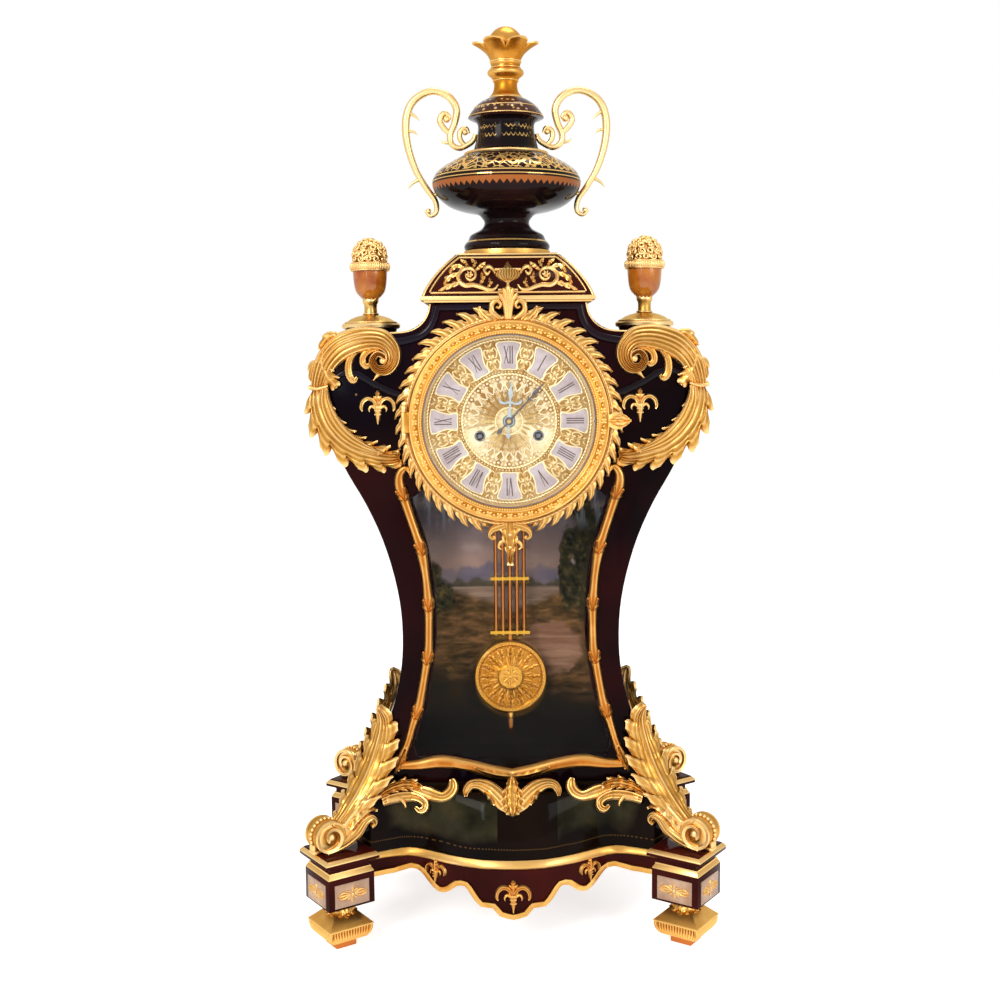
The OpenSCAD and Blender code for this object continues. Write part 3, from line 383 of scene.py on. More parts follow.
class Nodes:
    """Short way to add and link nodes in one tree."""

    def __init__(self, tree):
        self.tree = tree

    def put(self, socket, value):
        """Links the value to the socket if it comes from a node, and sets it if it is plain."""
        if isinstance(value, bpy.types.NodeSocket):
            self.tree.links.new(value, socket)
        else:
            socket.default_value = value

    def add(self, kind, inputs=None, **settings):
        """New node of a kind, its inputs linked or set."""
        node = self.tree.nodes.new(kind if kind.startswith("Node") else "ShaderNode" + kind)
        for key, value in settings.items():
            setattr(node, key, value)
        for key, value in (inputs or {}).items():
            self.put(node.inputs[key], value)
        return node

    def maths(self, operation, a, b=0.0, clamp=False):
        """Result of one sum on two values."""
        return self.add("Math", {0: a, 1: b}, operation=operation, use_clamp=clamp).outputs[0]

    def times(self, first, *others, clamp=False):
        """Product of all the values."""
        for other in others:
            first = self.maths("MULTIPLY", first, other, clamp)
        return first

    def plus(self, first, *others):
        """Sum of all the values."""
        for other in others:
            first = self.maths("ADD", first, other)
        return first

    def minus(self, a, b):
        """a less b."""
        return self.maths("SUBTRACT", a, b)

    def most(self, first, *others):
        """Largest of the values."""
        for other in others:
            first = self.maths("MAXIMUM", first, other)
        return first

    def off(self, a, b=0.0):
        """How far a lies from b."""
        return self.maths("ABSOLUTE", self.minus(a, b) if b else a)

    def mix(self, factor, a, b, blend="MIX"):
        """Colour a at factor 0, and b at 1."""
        node = self.add("Mix", data_type="RGBA", blend_type=blend)
        for socket, value in ((node.inputs[0], factor), (node.inputs[6], a), (node.inputs[7], b)):
            self.put(socket, value)
        return node.outputs[2]

    def ramp(self, value, stops):
        """Colour of a value between stops [place, colour]."""
        node = self.add("ValToRGB", {0: value})
        for i, (place, colour) in enumerate(stops):
            stop = node.color_ramp.elements[i] if i < 2 else node.color_ramp.elements.new(place)
            stop.position = place
            stop.color = colour
        return node.outputs[0]

    def steps(self, value, low, high, to_low=0.0, to_high=1.0):
        """Value brought from low..high to to_low..to_high, and held there beyond."""
        return self.add("MapRange", {0: value, 1: low, 2: high, 3: to_low, 4: to_high},
                        clamp=True).outputs[0]

    def place(self):
        """Place on the piece, in metres."""
        return self.add("TexCoord").outputs["Object"]

    def xyz(self):
        """The place's three parts."""
        return self.add("SeparateXYZ", {0: self.place()}).outputs

    def noise(self, scale, detail=3.0, rough=0.5, vector=None):
        """Cloudy values about 0.5."""
        return self.add("TexNoise", {"Vector": vector or self.place(), "Scale": scale, "Detail": detail,
                                     "Roughness": rough}).outputs["Fac"]

    def drawn(self, stretch, location=(0, 0, 0), rotation=(0, 0, 0)):
        """Places stretched along the axes, for a pattern drawn out one way."""
        return self.add("Mapping", {"Vector": self.place(), "Scale": stretch, "Location": location,
                                    "Rotation": rotation}).outputs[0]

    def cells(self, scale, randomness=1.0, feature="F1"):
        """Distance to the nearest of many scattered points, or to the cells' edges."""
        return self.add("TexVoronoi", {"Vector": self.place(), "Scale": scale, "Randomness": randomness},
                        feature=feature).outputs["Distance"]

    def out(self, **values):
        """Gives the group its outputs."""
        node = self.add("NodeGroupOutput")
        for key, value in values.items():
            self.tree.links.new(value, node.inputs[key])


def gilding_group():
    """Cast gilding with painted light: pale painted highlights on its edges and high places, deep orange
    painted shade in its hollows, and random blotches of both.
    """
    group, n = new_group("cast_gilding", [
        ("Bright", "NodeSocketColor", (0.86, 0.52, 0.15, 1)),
        ("Deep", "NodeSocketColor", (0.40, 0.15, 0.025, 1)),
        ("Pale", "NodeSocketColor", (0.95, 0.76, 0.42, 1)), ("Grain", "NodeSocketFloat", 900.0),
        ("Edge", "NodeSocketFloat", 1.0)],
                         [("Colour", "NodeSocketColor"), ("Roughness", "NodeSocketFloat"),
                          ("Height", "NodeSocketFloat")])
    given = n.add("NodeGroupInput").outputs
    edge = n.add("NewGeometry").outputs["Pointiness"]
    blotch = n.noise(38.0, 4.0, 0.6)
    grain = n.noise(given["Grain"], 2.0)
    # Painted shade: the Deep colour where pointiness is low, in hollows. Painted highlight: the Pale colour
    # where it is high, on edges. The blotches add random darker and paler tone.
    hollow = n.steps(edge, 0.5, 0.44)
    high = n.steps(edge, 0.505, 0.56)
    low = n.times(n.plus(hollow, n.steps(blotch, 0.5, 0.78, 0.0, 0.35)), given["Edge"], clamp=True)
    colour = n.mix(low, given["Bright"], given["Deep"])
    shine = n.times(n.plus(high, n.steps(blotch, 0.5, 0.3, 0.0, 0.3)), given["Edge"], clamp=True)
    colour = n.mix(shine, colour, given["Pale"])
    rough = n.steps(blotch, 0.3, 0.7, 0.26, 0.46)
    height = n.plus(n.times(grain, 0.35), n.times(blotch, 0.8))
    n.out(Colour=colour, Roughness=rough, Height=height)
    return group


def glaze_group():
    """Dark glaze: cloudy maroon and blue-black, with fine specks."""
    group, n = new_group("dark_glaze", [
        ("Dark", "NodeSocketColor", (0.010, 0.0035, 0.005, 1)),
        ("Warm", "NodeSocketColor", (0.045, 0.006, 0.006, 1)),
        ("Blue", "NodeSocketColor", (0.004, 0.006, 0.022, 1)), ("Cloud", "NodeSocketFloat", 9.0)],
                         [("Colour", "NodeSocketColor"), ("Roughness", "NodeSocketFloat"),
                          ("Height", "NodeSocketFloat")])
    given = n.add("NodeGroupInput").outputs
    cloud = n.noise(given["Cloud"])
    second = n.noise(given["Cloud"], 2.0, vector=n.drawn((1, 1, 1), (3.1, 1.7, 0.4)))
    colour = n.mix(n.steps(cloud, 0.40, 0.66), given["Dark"], given["Warm"])
    colour = n.mix(n.steps(second, 0.55, 0.75, 0.0, 0.6), colour, given["Blue"])
    rough = n.steps(second, 0.3, 0.7, 0.05, 0.13)
    n.out(Colour=colour, Roughness=rough, Height=n.noise(22.0, 2.0))
    return group


GILDING = gilding_group()
GLAZE = glaze_group()


def new_material(name):
    """Material with its node helper and its Principled shader."""
    material = bpy.data.materials.new(name)
    material.use_nodes = True
    tree = material.node_tree
    tree.nodes.clear()
    n = Nodes(tree)
    shader = n.add("BsdfPrincipled")
    out = n.add("OutputMaterial")
    tree.links.new(shader.outputs[0], out.inputs[0])
    return material, n, shader


def wire(n, shader, colour, rough, height=None, strength=0.2, distance=0.4, **plain):
    """Gives the shader its colour, roughness and bump (distance in mm), and its plain values."""
    n.put(shader.inputs["Base Color"], colour)
    n.put(shader.inputs["Roughness"], rough)
    if height is not None:
        bump = n.add("Bump", {"Height": height, "Strength": strength, "Distance": distance * MM})
        n.put(shader.inputs["Normal"], bump.outputs[0])
    for key, value in plain.items():
        shader.inputs[key.replace("_", " ")].default_value = value


def filled_group(n, tree, **values):
    """Group node with its inputs set, and its outputs."""
    return n.add("Group", values, node_tree=tree).outputs


def gilt(name, bright, deep, pale, grain, edge=1.0, metallic=1.0):
    """Cast gilding: bright on its flats, with painted shade deep in its hollows and painted highlights pale
    on its edges.
    """
    material, n, shader = new_material(name)
    made = filled_group(n, GILDING, Bright=bright, Deep=deep, Pale=pale, Grain=grain, Edge=edge)
    wire(n, shader, made["Colour"], made["Roughness"], made["Height"], 0.35, 0.25, Metallic=metallic,
         Specular_Tint=(1.0, 0.86, 0.62, 1))
    return material


def glazed(name, dark, warm, blue, cloud=9.0, paint=None, shine=0.035):
    """Glazed porcelain; paint adds gold painting and gives its colour and its share of metal."""
    material, n, shader = new_material(name)
    made = filled_group(n, GLAZE, Dark=dark, Warm=warm, Blue=blue, Cloud=cloud)
    colour = made["Colour"]
    if paint:
        colour, mask = paint(n, colour)
        n.put(shader.inputs["Metallic"], n.times(mask, 0.6))
    wire(n, shader, colour, made["Roughness"], made["Height"], 0.05, 2.0, Specular_IOR_Level=shine)
    return material


GOLD_PAINT = (0.80, 0.42, 0.12, 1)


def near(n, value, target, width):
    """1 where value lies within a band of that width round the target, both in millimetres."""
    return n.steps(n.off(value, target * MM), width * MM * 0.65, width * MM / 2)


def dotted(n, along, pitch, share):
    """1 on the dots of a row that repeats every pitch millimetres of along."""
    t = n.maths("FRACT", n.maths("DIVIDE", along, pitch * MM))
    return n.steps(n.off(t, 0.5), share * 0.6, share * 0.4)


def speckled_case(n, colour):
    """Sparse gold dots painted over the case's glaze, on its upper part only."""
    spot = n.steps(n.cells(95.0), 0.13, 0.06)
    some = n.steps(n.noise(14.0, 2.0), 0.56, 0.62)
    above = n.steps(n.xyz()[2], 0.50, 0.56)
    mask = n.times(spot, some, above)
    return n.mix(n.times(mask, 0.55), colour, GOLD_PAINT), n.times(mask, 0.5)


def skirt_reserves(n, colour):
    """Soft dark-green reserves either side of the middle, and a faint dotted gold line under them."""
    x, y, z = n.xyz()
    wander = n.times(n.minus(n.noise(30.0, 2.0), 0.5), 0.03)
    top = n.steps(n.plus(z, wander), 0.104, 0.116)
    roof = n.steps(z, 0.1445, 0.140)
    outer = n.steps(n.plus(n.off(x), wander), 0.124, 0.112)
    front = n.steps(y, -0.070, -0.084)
    gap = n.most(n.steps(x, -0.0145, -0.0155), n.steps(x, 0.0435, 0.0445))
    patch = n.times(top, roof, n.times(outer, front), gap)
    green = n.ramp(n.noise(16.0, 4.0, 0.6), [
        (0.30, (0.007, 0.008, 0.004, 1)), (0.52, (0.034, 0.030, 0.014, 1)),
        (0.74, (0.075, 0.050, 0.024, 1))])
    colour = n.mix(n.times(patch, 0.85), colour, green)
    line = near(n, n.plus(z, n.times(n.noise(24.0, 2.0), 0.004)), 100.4, 1.1)
    gold = n.times(line, dotted(n, n.plus(x, y), 2.6, 0.5), 0.1)
    return n.mix(gold, colour, GOLD_PAINT), gold


def painted_urn(n, colour):
    """Gold leafage and lines painted round the urn, in bands told apart by height."""
    x, y, up = n.xyz()
    turn = n.maths("DIVIDE", n.maths("ARCTAN2", y, x), 2 * math.pi)
    # leafage on the shoulder: waved stems with leaves, between two lines
    wave = n.maths("SINE", n.times(turn, 2 * math.pi * 18))
    stem = n.steps(n.off(n.minus(up, n.plus(n.times(wave, 0.0042), 0.762))), 0.0016, 0.0007)
    curls = n.steps(n.cells(150.0, feature="DISTANCE_TO_EDGE"), 0.10, 0.05)
    band = n.times(n.steps(up, 0.7535, 0.7545), n.steps(up, 0.7715, 0.7705))
    leafage = n.times(n.most(stem, curls), band)
    # pointed edging under the belly line
    tooth = n.off(n.maths("FRACT", n.times(turn, 68)), 0.5)
    point = n.steps(n.minus(up, n.times(tooth, 0.008)), 0.7385, 0.7393)
    edging = n.times(point, n.steps(up, 0.7468, 0.7460))
    lines = n.most(near(n, up, 752.4, 1.0), near(n, up, 748.6, 0.8))
    # two rows of small festoons with dots on the neck
    swag = n.off(n.maths("SINE", n.times(turn, math.pi * 40)))
    rows = [n.steps(n.off(n.minus(up, n.plus(n.times(swag, -drop), height))), 0.0009, 0.0003)
            for height, drop in ((0.8015, 0.0022), (0.7935, 0.0030))]
    zone = n.times(n.steps(up, 0.788, 0.791), n.steps(up, 0.8035, 0.8025))
    neck = n.most(*rows, n.times(n.steps(n.cells(260.0, 0.8), 0.20, 0.12), zone))
    neck = n.times(neck, n.steps(n.noise(70.0, 2.0), 0.42, 0.56, 0.0, 0.8))
    foot = near(n, up, 689.0, 1.2)
    gold = n.times(n.most(leafage, lines, neck, foot), 0.9)
    return n.mix(gold, n.mix(edging, colour, (0.40, 0.12, 0.028, 1)), (0.86, 0.52, 0.16, 1)), gold


def dotted_lid(n, colour):
    """Rows of gold and cream dots over the urn's lid."""
    spot = n.steps(n.cells(170.0, 0.6), 0.34, 0.22)
    above = n.steps(n.xyz()[2], 0.8135, 0.815)
    mask = n.times(spot, above, 0.85)
    tone = n.mix(n.steps(n.noise(200.0), 0.45, 0.6), (0.80, 0.46, 0.14, 1), (0.85, 0.78, 0.62, 1))
    return n.mix(mask, colour, tone), mask


def enamel(name, low, high, rough=0.16):
    """Cream or pink enamel, cloudier and darker towards its edges."""
    material, n, shader = new_material(name)
    cloud = n.noise(60.0, 4.0, 0.6)
    edge = n.add("NewGeometry").outputs["Pointiness"]
    colour = n.mix(n.steps(cloud, 0.35, 0.65), low, high)
    colour = n.mix(n.steps(edge, 0.51, 0.56, 0.0, 0.35), colour, (0.36, 0.26, 0.20, 1))
    wire(n, shader, colour, rough, n.noise(120.0, 2.0), 0.05, 0.3, Specular_IOR_Level=0.2)
    return material


def amber_glaze():
    """Orange-brown cup glaze, clouded."""
    material, n, shader = new_material("amber_glaze")
    cloud = n.noise(45.0, 3.0)
    colour = n.mix(n.steps(cloud, 0.35, 0.68), (0.36, 0.070, 0.005, 1), (0.66, 0.23, 0.022, 1))
    wire(n, shader, colour, 0.14, cloud, 0.15, 0.5, Specular_IOR_Level=0.5)
    return material


def clear_glass():
    """Glass that hides little behind it."""
    material, n, shader = new_material("clear_glass")
    wire(n, shader, (0.97, 0.985, 1.0, 1), 0.015, Transmission_Weight=1.0, IOR=1.45, Alpha=0.08,
         Specular_IOR_Level=0.08)
    return material


def worked_metal(name, colour, rough, stretch=(1, 1, 60)):
    """Turned or brushed metal, its marks drawn out along one way, with darker stains."""
    material, n, shader = new_material(name)
    marks = n.noise(30.0, 5.0, 0.6, n.drawn(stretch))
    dull = (*(0.7 * c for c in colour[:3]), 1)
    tone = n.mix(n.steps(n.noise(25.0), 0.45, 0.75, 0.0, 0.5), colour, dull)
    wire(n, shader, tone, n.steps(marks, 0.3, 0.7, rough * 0.8, rough * 1.3), marks, 0.12, 0.12,
         Metallic=1.0)
    return material


def pendulum_metal():
    """Coppery gilt rods with yellower crossbars, told apart by height."""
    material, n, shader = new_material("copper_gilt_rods")
    marks = n.noise(30.0, 5.0, 0.6, n.drawn((60, 60, 1)))
    up = n.xyz()[2]
    bars = n.most(*(n.maths("LESS_THAN", n.off(up, z * MM), 2.4 * MM) for z in CROSSBAR_ZS))
    tone = n.mix(bars, (0.44, 0.15, 0.035, 1), (0.62, 0.33, 0.035, 1))
    wire(n, shader, tone, n.steps(marks, 0.3, 0.7, 0.26, 0.42), marks, 0.12, 0.12, Metallic=1.0)
    return material


def grained_wood(name, light, dark):
    """Wood with upright grain."""
    material, n, shader = new_material(name)
    drawn = n.drawn((26, 26, 1.6))
    grain = n.noise(7.0, 6.0, 0.65, drawn)
    rings = n.add("TexWave", {"Vector": drawn, "Scale": 0.9, "Distortion": 6.0,
                              "Detail": 3.0}).outputs["Fac"]
    colour = n.mix(n.times(grain, rings), light, dark)
    wire(n, shader, colour, n.steps(grain, 0.3, 0.7, 0.38, 0.6), grain, 0.2, 0.3)
    return material


# The painted panel: slim trees as [across, foot, top, half width]
TREES = ((76, 300, 440, 14), (60, 305, 400, 9), (92, 290, 415, 18), (-86, 300, 362, 20),
         (-70, 304, 345, 13), (101, 270, 360, 22), (-100, 262, 388, 17))
PANEL_MIDDLE_Y = 5.5


def oval(n, x, z, at, up, wide, high):
    """0 in the middle of an oval round (at, up), and 1 on its edge; all in millimetres."""
    parts = [n.maths("DIVIDE", n.minus(value, middle * MM), half * MM)
             for value, middle, half in ((x, at, wide), (z, up, high))]
    return n.plus(*(n.times(part, part) for part in parts))


def sky_and_hills(n, z, cloud, brush, ridge, cover):
    """Dusk sky over far mauve hills and nearer dark ones."""
    sky = n.ramp(n.steps(n.plus(z, n.times(cloud, 0.05)), 0.345, 0.50), [
        (0.0, (0.70, 0.42, 0.28, 1)), (0.30, (0.46, 0.32, 0.28, 1)), (0.6, (0.20, 0.18, 0.22, 1)),
        (1.0, (0.10, 0.12, 0.18, 1))])
    sky = n.mix(n.steps(cloud, 0.48, 0.66, 0.0, 0.75), sky, (0.66, 0.48, 0.40, 1))
    far = n.mix(n.steps(cloud, 0.4, 0.6), (0.24, 0.20, 0.26, 1), (0.36, 0.27, 0.28, 1))
    view = cover(sky, ridge(334, 44, 26, 2.0), far, 0.002)
    nearer = n.mix(brush, (0.10, 0.085, 0.05, 1), (0.30, 0.22, 0.12, 1))
    return cover(view, ridge(322, 40, 40, 5.0), nearer, 0.002)


def evening_view():
    """Generic dusk view behind the pendulum: sky, hills, a lake, near banks, slim trees and a pool, with
    painted glare near its top.
    """
    material, n, shader = new_material("painted_panel")
    x, y, z = n.xyz()
    brush = n.minus(n.noise(70.0, 5.0, 0.65), 0.5)
    cloud = n.noise(1.0, 4.0, 0.6, n.drawn((14, 1, 34)))

    def ridge(base, rise, length, move):
        wide = n.noise(1.0, 3.0, 0.55, n.drawn((length, 0, 0), (move, 0, 0)))
        return n.minus(n.plus(n.times(wide, rise * MM), base * MM), z)

    def cover(under, depth, colour, soft):
        return n.mix(n.steps(depth, -soft, soft), under, colour)

    view = sky_and_hills(n, z, cloud, brush, ridge, cover)
    shimmer = n.noise(1.0, 4.0, 0.6, n.drawn((12, 1, 150)))
    water = n.ramp(shimmer, [(0.32, (0.18, 0.12, 0.085, 1)), (0.55, (0.42, 0.28, 0.20, 1)),
                             (0.75, (0.66, 0.48, 0.36, 1))])
    view = n.mix(n.steps(z, 0.336, 0.334), view, water)
    earth = n.ramp(n.noise(1.0, 5.0, 0.7, n.drawn((46, 1, 120))), [
        (0.36, (0.030, 0.022, 0.009, 1)), (0.50, (0.15, 0.080, 0.026, 1)), (0.64, (0.40, 0.19, 0.070, 1))])
    view = cover(view, n.plus(ridge(292, 30, 18, 9.0), n.times(n.off(x), 0.42)), earth, 0.003)
    near_bank = n.plus(ridge(206, 46, 14, 13.0), n.times(x, -0.2))
    view = cover(view, near_bank, n.mix(0.75, earth, (0.012, 0.011, 0.006, 1)), 0.006)
    leaf_tone = n.ramp(n.noise(160.0, 4.0, 0.7), [
        (0.38, (0.010, 0.012, 0.006, 1)), (0.54, (0.060, 0.052, 0.020, 1)), (0.70, (0.24, 0.16, 0.055, 1))])
    for at, foot, top, wide in TREES:
        edge = n.plus(oval(n, x, z, at, (foot + top) / 2, wide, (top - foot) / 2), n.times(brush, 2.6))
        view = n.mix(n.steps(edge, 1.1, 0.7), view, leaf_tone)
    pool = n.plus(oval(n, x, z, 40, 268, 36, 30), n.times(brush, 1.4))
    still = n.mix(n.steps(shimmer, 0.4, 0.6), (0.30, 0.15, 0.085, 1), (0.52, 0.30, 0.19, 1))
    view = n.mix(n.steps(pool, 1.05, 0.75), view, still)
    view = n.mix(n.steps(z, 0.262, 0.190, 0.0, 0.92), view, (0.004, 0.0035, 0.004, 1))
    # Painted reflection: pale blue-white streaks of glare over the top of the view.
    streak = n.noise(1.0, 4.0, 0.6, n.drawn((150, 1, 22), rotation=(0, 0.5, 0)))
    glare = n.times(n.steps(streak, 0.50, 0.60, 0.0, 0.85), n.steps(z, 0.392, 0.424))
    view = n.mix(glare, view, (0.62, 0.68, 0.78, 1))
    grey = n.add("CombineColor", {0: brush, 1: brush, 2: brush}).outputs[0]
    view = n.mix(0.22, view, grey, "SOFT_LIGHT")
    # The board's back is bare wood
    view = n.mix(n.maths("GREATER_THAN", y, PANEL_MIDDLE_Y * MM), view, (0.055, 0.028, 0.015, 1))
    wire(n, shader, view, 0.45, n.noise(130.0, 4.0, 0.6), 0.12, 0.3, Specular_IOR_Level=0.02)
    return material


# Each gilt below takes painted shade in its hollows and painted highlights on its edges from the
# cast_gilding group.
CAST_GILT = gilt("cast_gilt", (0.47, 0.225, 0.038, 1), (0.13, 0.040, 0.005, 1), (0.80, 0.53, 0.22, 1),
                 900.0, 1.15)
ORANGE_GILT = gilt("orange_gilt", (0.46, 0.175, 0.014, 1), (0.14, 0.034, 0.004, 1), (0.80, 0.49, 0.15, 1),
                   700.0)
PALE_GILT = gilt("pale_gilt", (0.60, 0.36, 0.085, 1), (0.28, 0.11, 0.02, 1), (0.84, 0.62, 0.30, 1), 600.0,
                 0.8)
SATIN_GILT = gilt("satin_gilt", (0.56, 0.30, 0.07, 1), (0.22, 0.07, 0.010, 1), (0.80, 0.55, 0.24, 1), 500.0,
                  0.8)
FRAME_GILT = gilt("frame_gilt", (0.40, 0.125, 0.014, 1), (0.12, 0.026, 0.004, 1), (0.76, 0.44, 0.13, 1),
                  700.0)
BEZEL_GILT = gilt("bezel_gilt", (0.47, 0.185, 0.018, 1), (0.18, 0.050, 0.005, 1), (0.84, 0.52, 0.17, 1),
                  700.0)
DIAL_GILT = gilt("dial_gilt", (0.62, 0.43, 0.17, 1), (0.34, 0.17, 0.04, 1), (0.90, 0.78, 0.50, 1), 1200.0,
                 1.0, 0.8)
DIAL_PALE = gilt("dial_centre_gilt", (0.62, 0.48, 0.26, 1), (0.36, 0.24, 0.09, 1), (0.90, 0.80, 0.60, 1),
                 1200.0, 0.9, 0.75)
BOB_GILT = gilt("bob_gilt", (0.48, 0.19, 0.012, 1), (0.20, 0.060, 0.004, 1), (0.78, 0.44, 0.10, 1), 900.0)
ROD_GILT = pendulum_metal()
PORCELAIN = glazed("maroon_porcelain", (0.0040, 0.0011, 0.0018, 1), (0.020, 0.0020, 0.0024, 1),
                   (0.0022, 0.0022, 0.010, 1), paint=speckled_case)
ROLL_GLAZE = glazed("rolled_edge_porcelain", (0.003, 0.0012, 0.0035, 1), (0.010, 0.0016, 0.004, 1),
                    (0.003, 0.003, 0.022, 1), shine=0.14)
SKIRT_GLAZE = glazed("skirt_porcelain", (0.004, 0.0022, 0.0016, 1), (0.010, 0.0045, 0.0026, 1),
                     (0.003, 0.003, 0.006, 1), 12.0, skirt_reserves)
APRON_GLAZE = glazed("apron_porcelain", (0.026, 0.0032, 0.0026, 1), (0.055, 0.006, 0.004, 1),
                     (0.012, 0.003, 0.005, 1))
URN_GLAZE = glazed("urn_porcelain", (0.007, 0.0035, 0.0035, 1), (0.026, 0.008, 0.008, 1),
                   (0.004, 0.004, 0.010, 1), 14.0, painted_urn, 0.08)
LID_GLAZE = glazed("lid_porcelain", (0.050, 0.016, 0.008, 1), (0.110, 0.034, 0.014, 1),
                   (0.01, 0.006, 0.006, 1), 14.0, dotted_lid, 0.15)
PEDIMENT_GLAZE = glazed("pediment_porcelain", (0.018, 0.0035, 0.0035, 1), (0.045, 0.007, 0.005, 1),
                        (0.010, 0.003, 0.006, 1))
DIAL_ENAMEL = enamel("dial_enamel", (0.52, 0.45, 0.49, 1), (0.76, 0.69, 0.74, 1), 0.30)
PLAQUE_ENAMEL = enamel("plaque_enamel", (0.48, 0.27, 0.16, 1), (0.66, 0.44, 0.30, 1), 0.35)
TOE_GILT = gilt("reddish_gilt", (0.27, 0.050, 0.010, 1), (0.13, 0.018, 0.004, 1), (0.50, 0.16, 0.04, 1),
                500.0)
AMBER = amber_glaze()
GLASS = clear_glass()
VIEW = evening_view()
HAND_STEEL = worked_metal("silvered_steel_hands", (0.52, 0.58, 0.60, 1), 0.3)
BROWN_STEEL = worked_metal("browned_steel_hand", (0.17, 0.15, 0.15, 1), 0.3)
DARK_STEEL = worked_metal("dark_steel", (0.20, 0.20, 0.22, 1), 0.3)
BRASS = worked_metal("movement_brass", (0.72, 0.47, 0.18, 1), 0.28, (60, 1, 60))
DOOR_WOOD = grained_wood("door_wood", (0.14, 0.055, 0.03, 1), (0.045, 0.016, 0.010, 1))
BOARD_WOOD = grained_wood("board_wood", (0.30, 0.16, 0.08, 1), (0.13, 0.06, 0.03, 1))
INK = enamel("numeral_black", (0.012, 0.010, 0.012, 1), (0.03, 0.025, 0.03, 1), 0.3)


def keep(node, material):
    """Gives a frame node that stays in view its finish."""
    slots = NODES[node].material_slots
    if not slots:
        NODES[node].data.materials.append(material)
    for slot in slots:
        slot.material = material


# Porcelain and the plain gilt parts that keep the frame's shapes

def dress_frame():
    """Softened copies of the frame's own shapes, with their finishes."""
    dressed("case_body", "waisted_case", PORCELAIN, 2.4, segments=3)
    dressed("base_skirt", "serpentine_skirt", SKIRT_GLAZE, 0.8)
    dressed("base_moulding", "base_rail", SATIN_GILT, 0.5)
    dressed("apron", "apron_panels", APRON_GLAZE, 0.5)
    dressed("apron_edging", "apron_gilt_edge", ORANGE_GILT, 0.9)
    dressed("pediment", "pediment_body", PEDIMENT_GLAZE, 1.2)
    dressed("pediment_mouldings", "pediment_rails", SATIN_GILT, 1.2, segments=3)
    dressed("back_door", "back_door_leaf", DOOR_WOOD, 0.8, "back_door_leaf")
    for material, nodes in (
            (BOARD_WOOD, ("base_board",)), (VIEW, ("painted_panel",)),
            (GLASS, ("window_glass", "bezel_glass")),
            (DARK_STEEL, ("tie_rod", "going_arbor", "strike_arbor", "anchor", "gong_rods")),
            (HAND_STEEL, ("hour_hand",)), (BROWN_STEEL, ("minute_hand",)), (ROD_GILT, ("pendulum_rods",)),
            (DIAL_GILT, ("dial_plate",)), (DIAL_ENAMEL, ("dial_cartouches",)),
            (BRASS, ("centre_arbor", "hinge_pins", "back_door_button", "movement_front_plate",
                     "movement_back_plate", "movement_pillars", "going_barrel", "strike_barrel",
                     "intermediate_wheel", "third_wheel", "escape_wheel", "minute_wheel",
                     "strike_hammer"))):
        for node in nodes:
            keep(node, material)


# Urn and its mounts

URN_PROFILE = [(41, 680), (43, 682), (43, 686), (39, 691), (36.5, 696), (26, 702), (22.5, 708), (25, 713),
               (30, 717), (44, 720), (56, 724), (65, 730), (72, 738), (75, 748), (71, 757), (64, 763),
               (54, 769), (44, 774), (40, 776), (34, 779), (31.6, 784), (29.6, 792), (28.2, 800),
               (28.8, 806), (33, 810)]


def ring(radius, height, round_r, centre=(0, 0, 0), axis="Z", steps=96):
    """Gilt ring of round section."""
    section = [(radius + round_r * math.cos(a), height + round_r * math.sin(a))
               for a in np.linspace(0, 2 * math.pi, 12, endpoint=False)]
    return lathe(section, steps, centre, axis, closed=True)


def make_urn():
    """Porcelain urn and lid with their gilt rings."""
    body = [(3.3, 680), *smooth_run(URN_PROFILE, 90), (3.3, 810)]
    piece(lathe(body, 128, closed=True), "urn_porcelain", URN_GLAZE, stands_for=("urn_body",),
          sharp=50)
    dome = smooth_run([(38, 811.5), (37.4, 813), (35, 817), (30, 823), (23, 828), (16, 831)], 22)
    lid = [(3.3, 810), (35, 810), (38, 811.5), *dome, (3.3, 831)]
    piece(lathe(lid, 96, closed=True), "urn_lid_porcelain", LID_GLAZE, stands_for=("urn_lid",),
          sharp=50)
    piece([ring(41.2, 775.6, 1.5), ring(37.2, 812.2, 0.7), ring(31.5, 820.6, 0.8), ring(16.6, 830.4, 1.0)],
          "urn_gilt_rings", SATIN_GILT)


def in_side_plane(u, z):
    """Places u out from the upright axis at height z, with the way on and the sideways direction."""
    spine = np.column_stack([u, np.zeros(len(u)), z])
    return spine, unit(np.gradient(spine, axis=0)), np.tile([0, 1.0, 0], (len(u), 1))


def petal(foot_r, foot_z, tip_r, tip_z, half, lift):
    """Broad petal that rises from the stem, flares and curls out at its tip."""
    along = 8
    middle_spot = (foot_r + (tip_r - foot_r) * 0.35, foot_z + (tip_z - foot_z) * 0.55)
    run = smooth_run([(foot_r, foot_z, half * 0.55), (*middle_spot, half),
                      (tip_r - 3, tip_z - 0.6, half * 0.95), (tip_r, tip_z - 2.4, half * 0.25)], along + 1)
    spine, way, side = in_side_plane(run[:, 0], run[:, 1])
    return laid(spine, way, side, np.cross(side, way), run[:, 2],
                leaf(2, 0.12, 0.15, -lift, 0.35, 0.0, -0.5), along, 6, 1.4)


def petals_round(count, first, *shape):
    """Ring of petals, the first turned by so many degrees."""
    return [moved(petal(*shape), upright(first + 360 / count * i)) for i in range(count)]


def petal_bowl():
    """Flared bowl whose rim spreads into six broad petals."""
    rows = smooth_run([(13.6, 865.6), (15.4, 869.6), (18.6, 874.6), (24.0, 879.4), (29.6, 883.0),
                       (33.0, 884.6)], 18)
    bowl = lathe(rows, 120)
    co = places(bowl)
    r, turn = np.hypot(co[:, 0], co[:, 1]), np.arctan2(co[:, 1], co[:, 0])
    parted = (1 - np.abs(np.cos(3 * turn)) ** 0.55) * np.clip((r - 17) / 16, 0, 1)
    new_r = np.where(r > 17, 17 + (r - 17) * (1 - parted * 0.95), r)
    put(bowl, np.column_stack([co[:, 0] * new_r / r, co[:, 1] * new_r / r, co[:, 2] - parted * 4.0]))
    return use(bowl, "SOLIDIFY", thickness=1.4 * MM, offset=0)


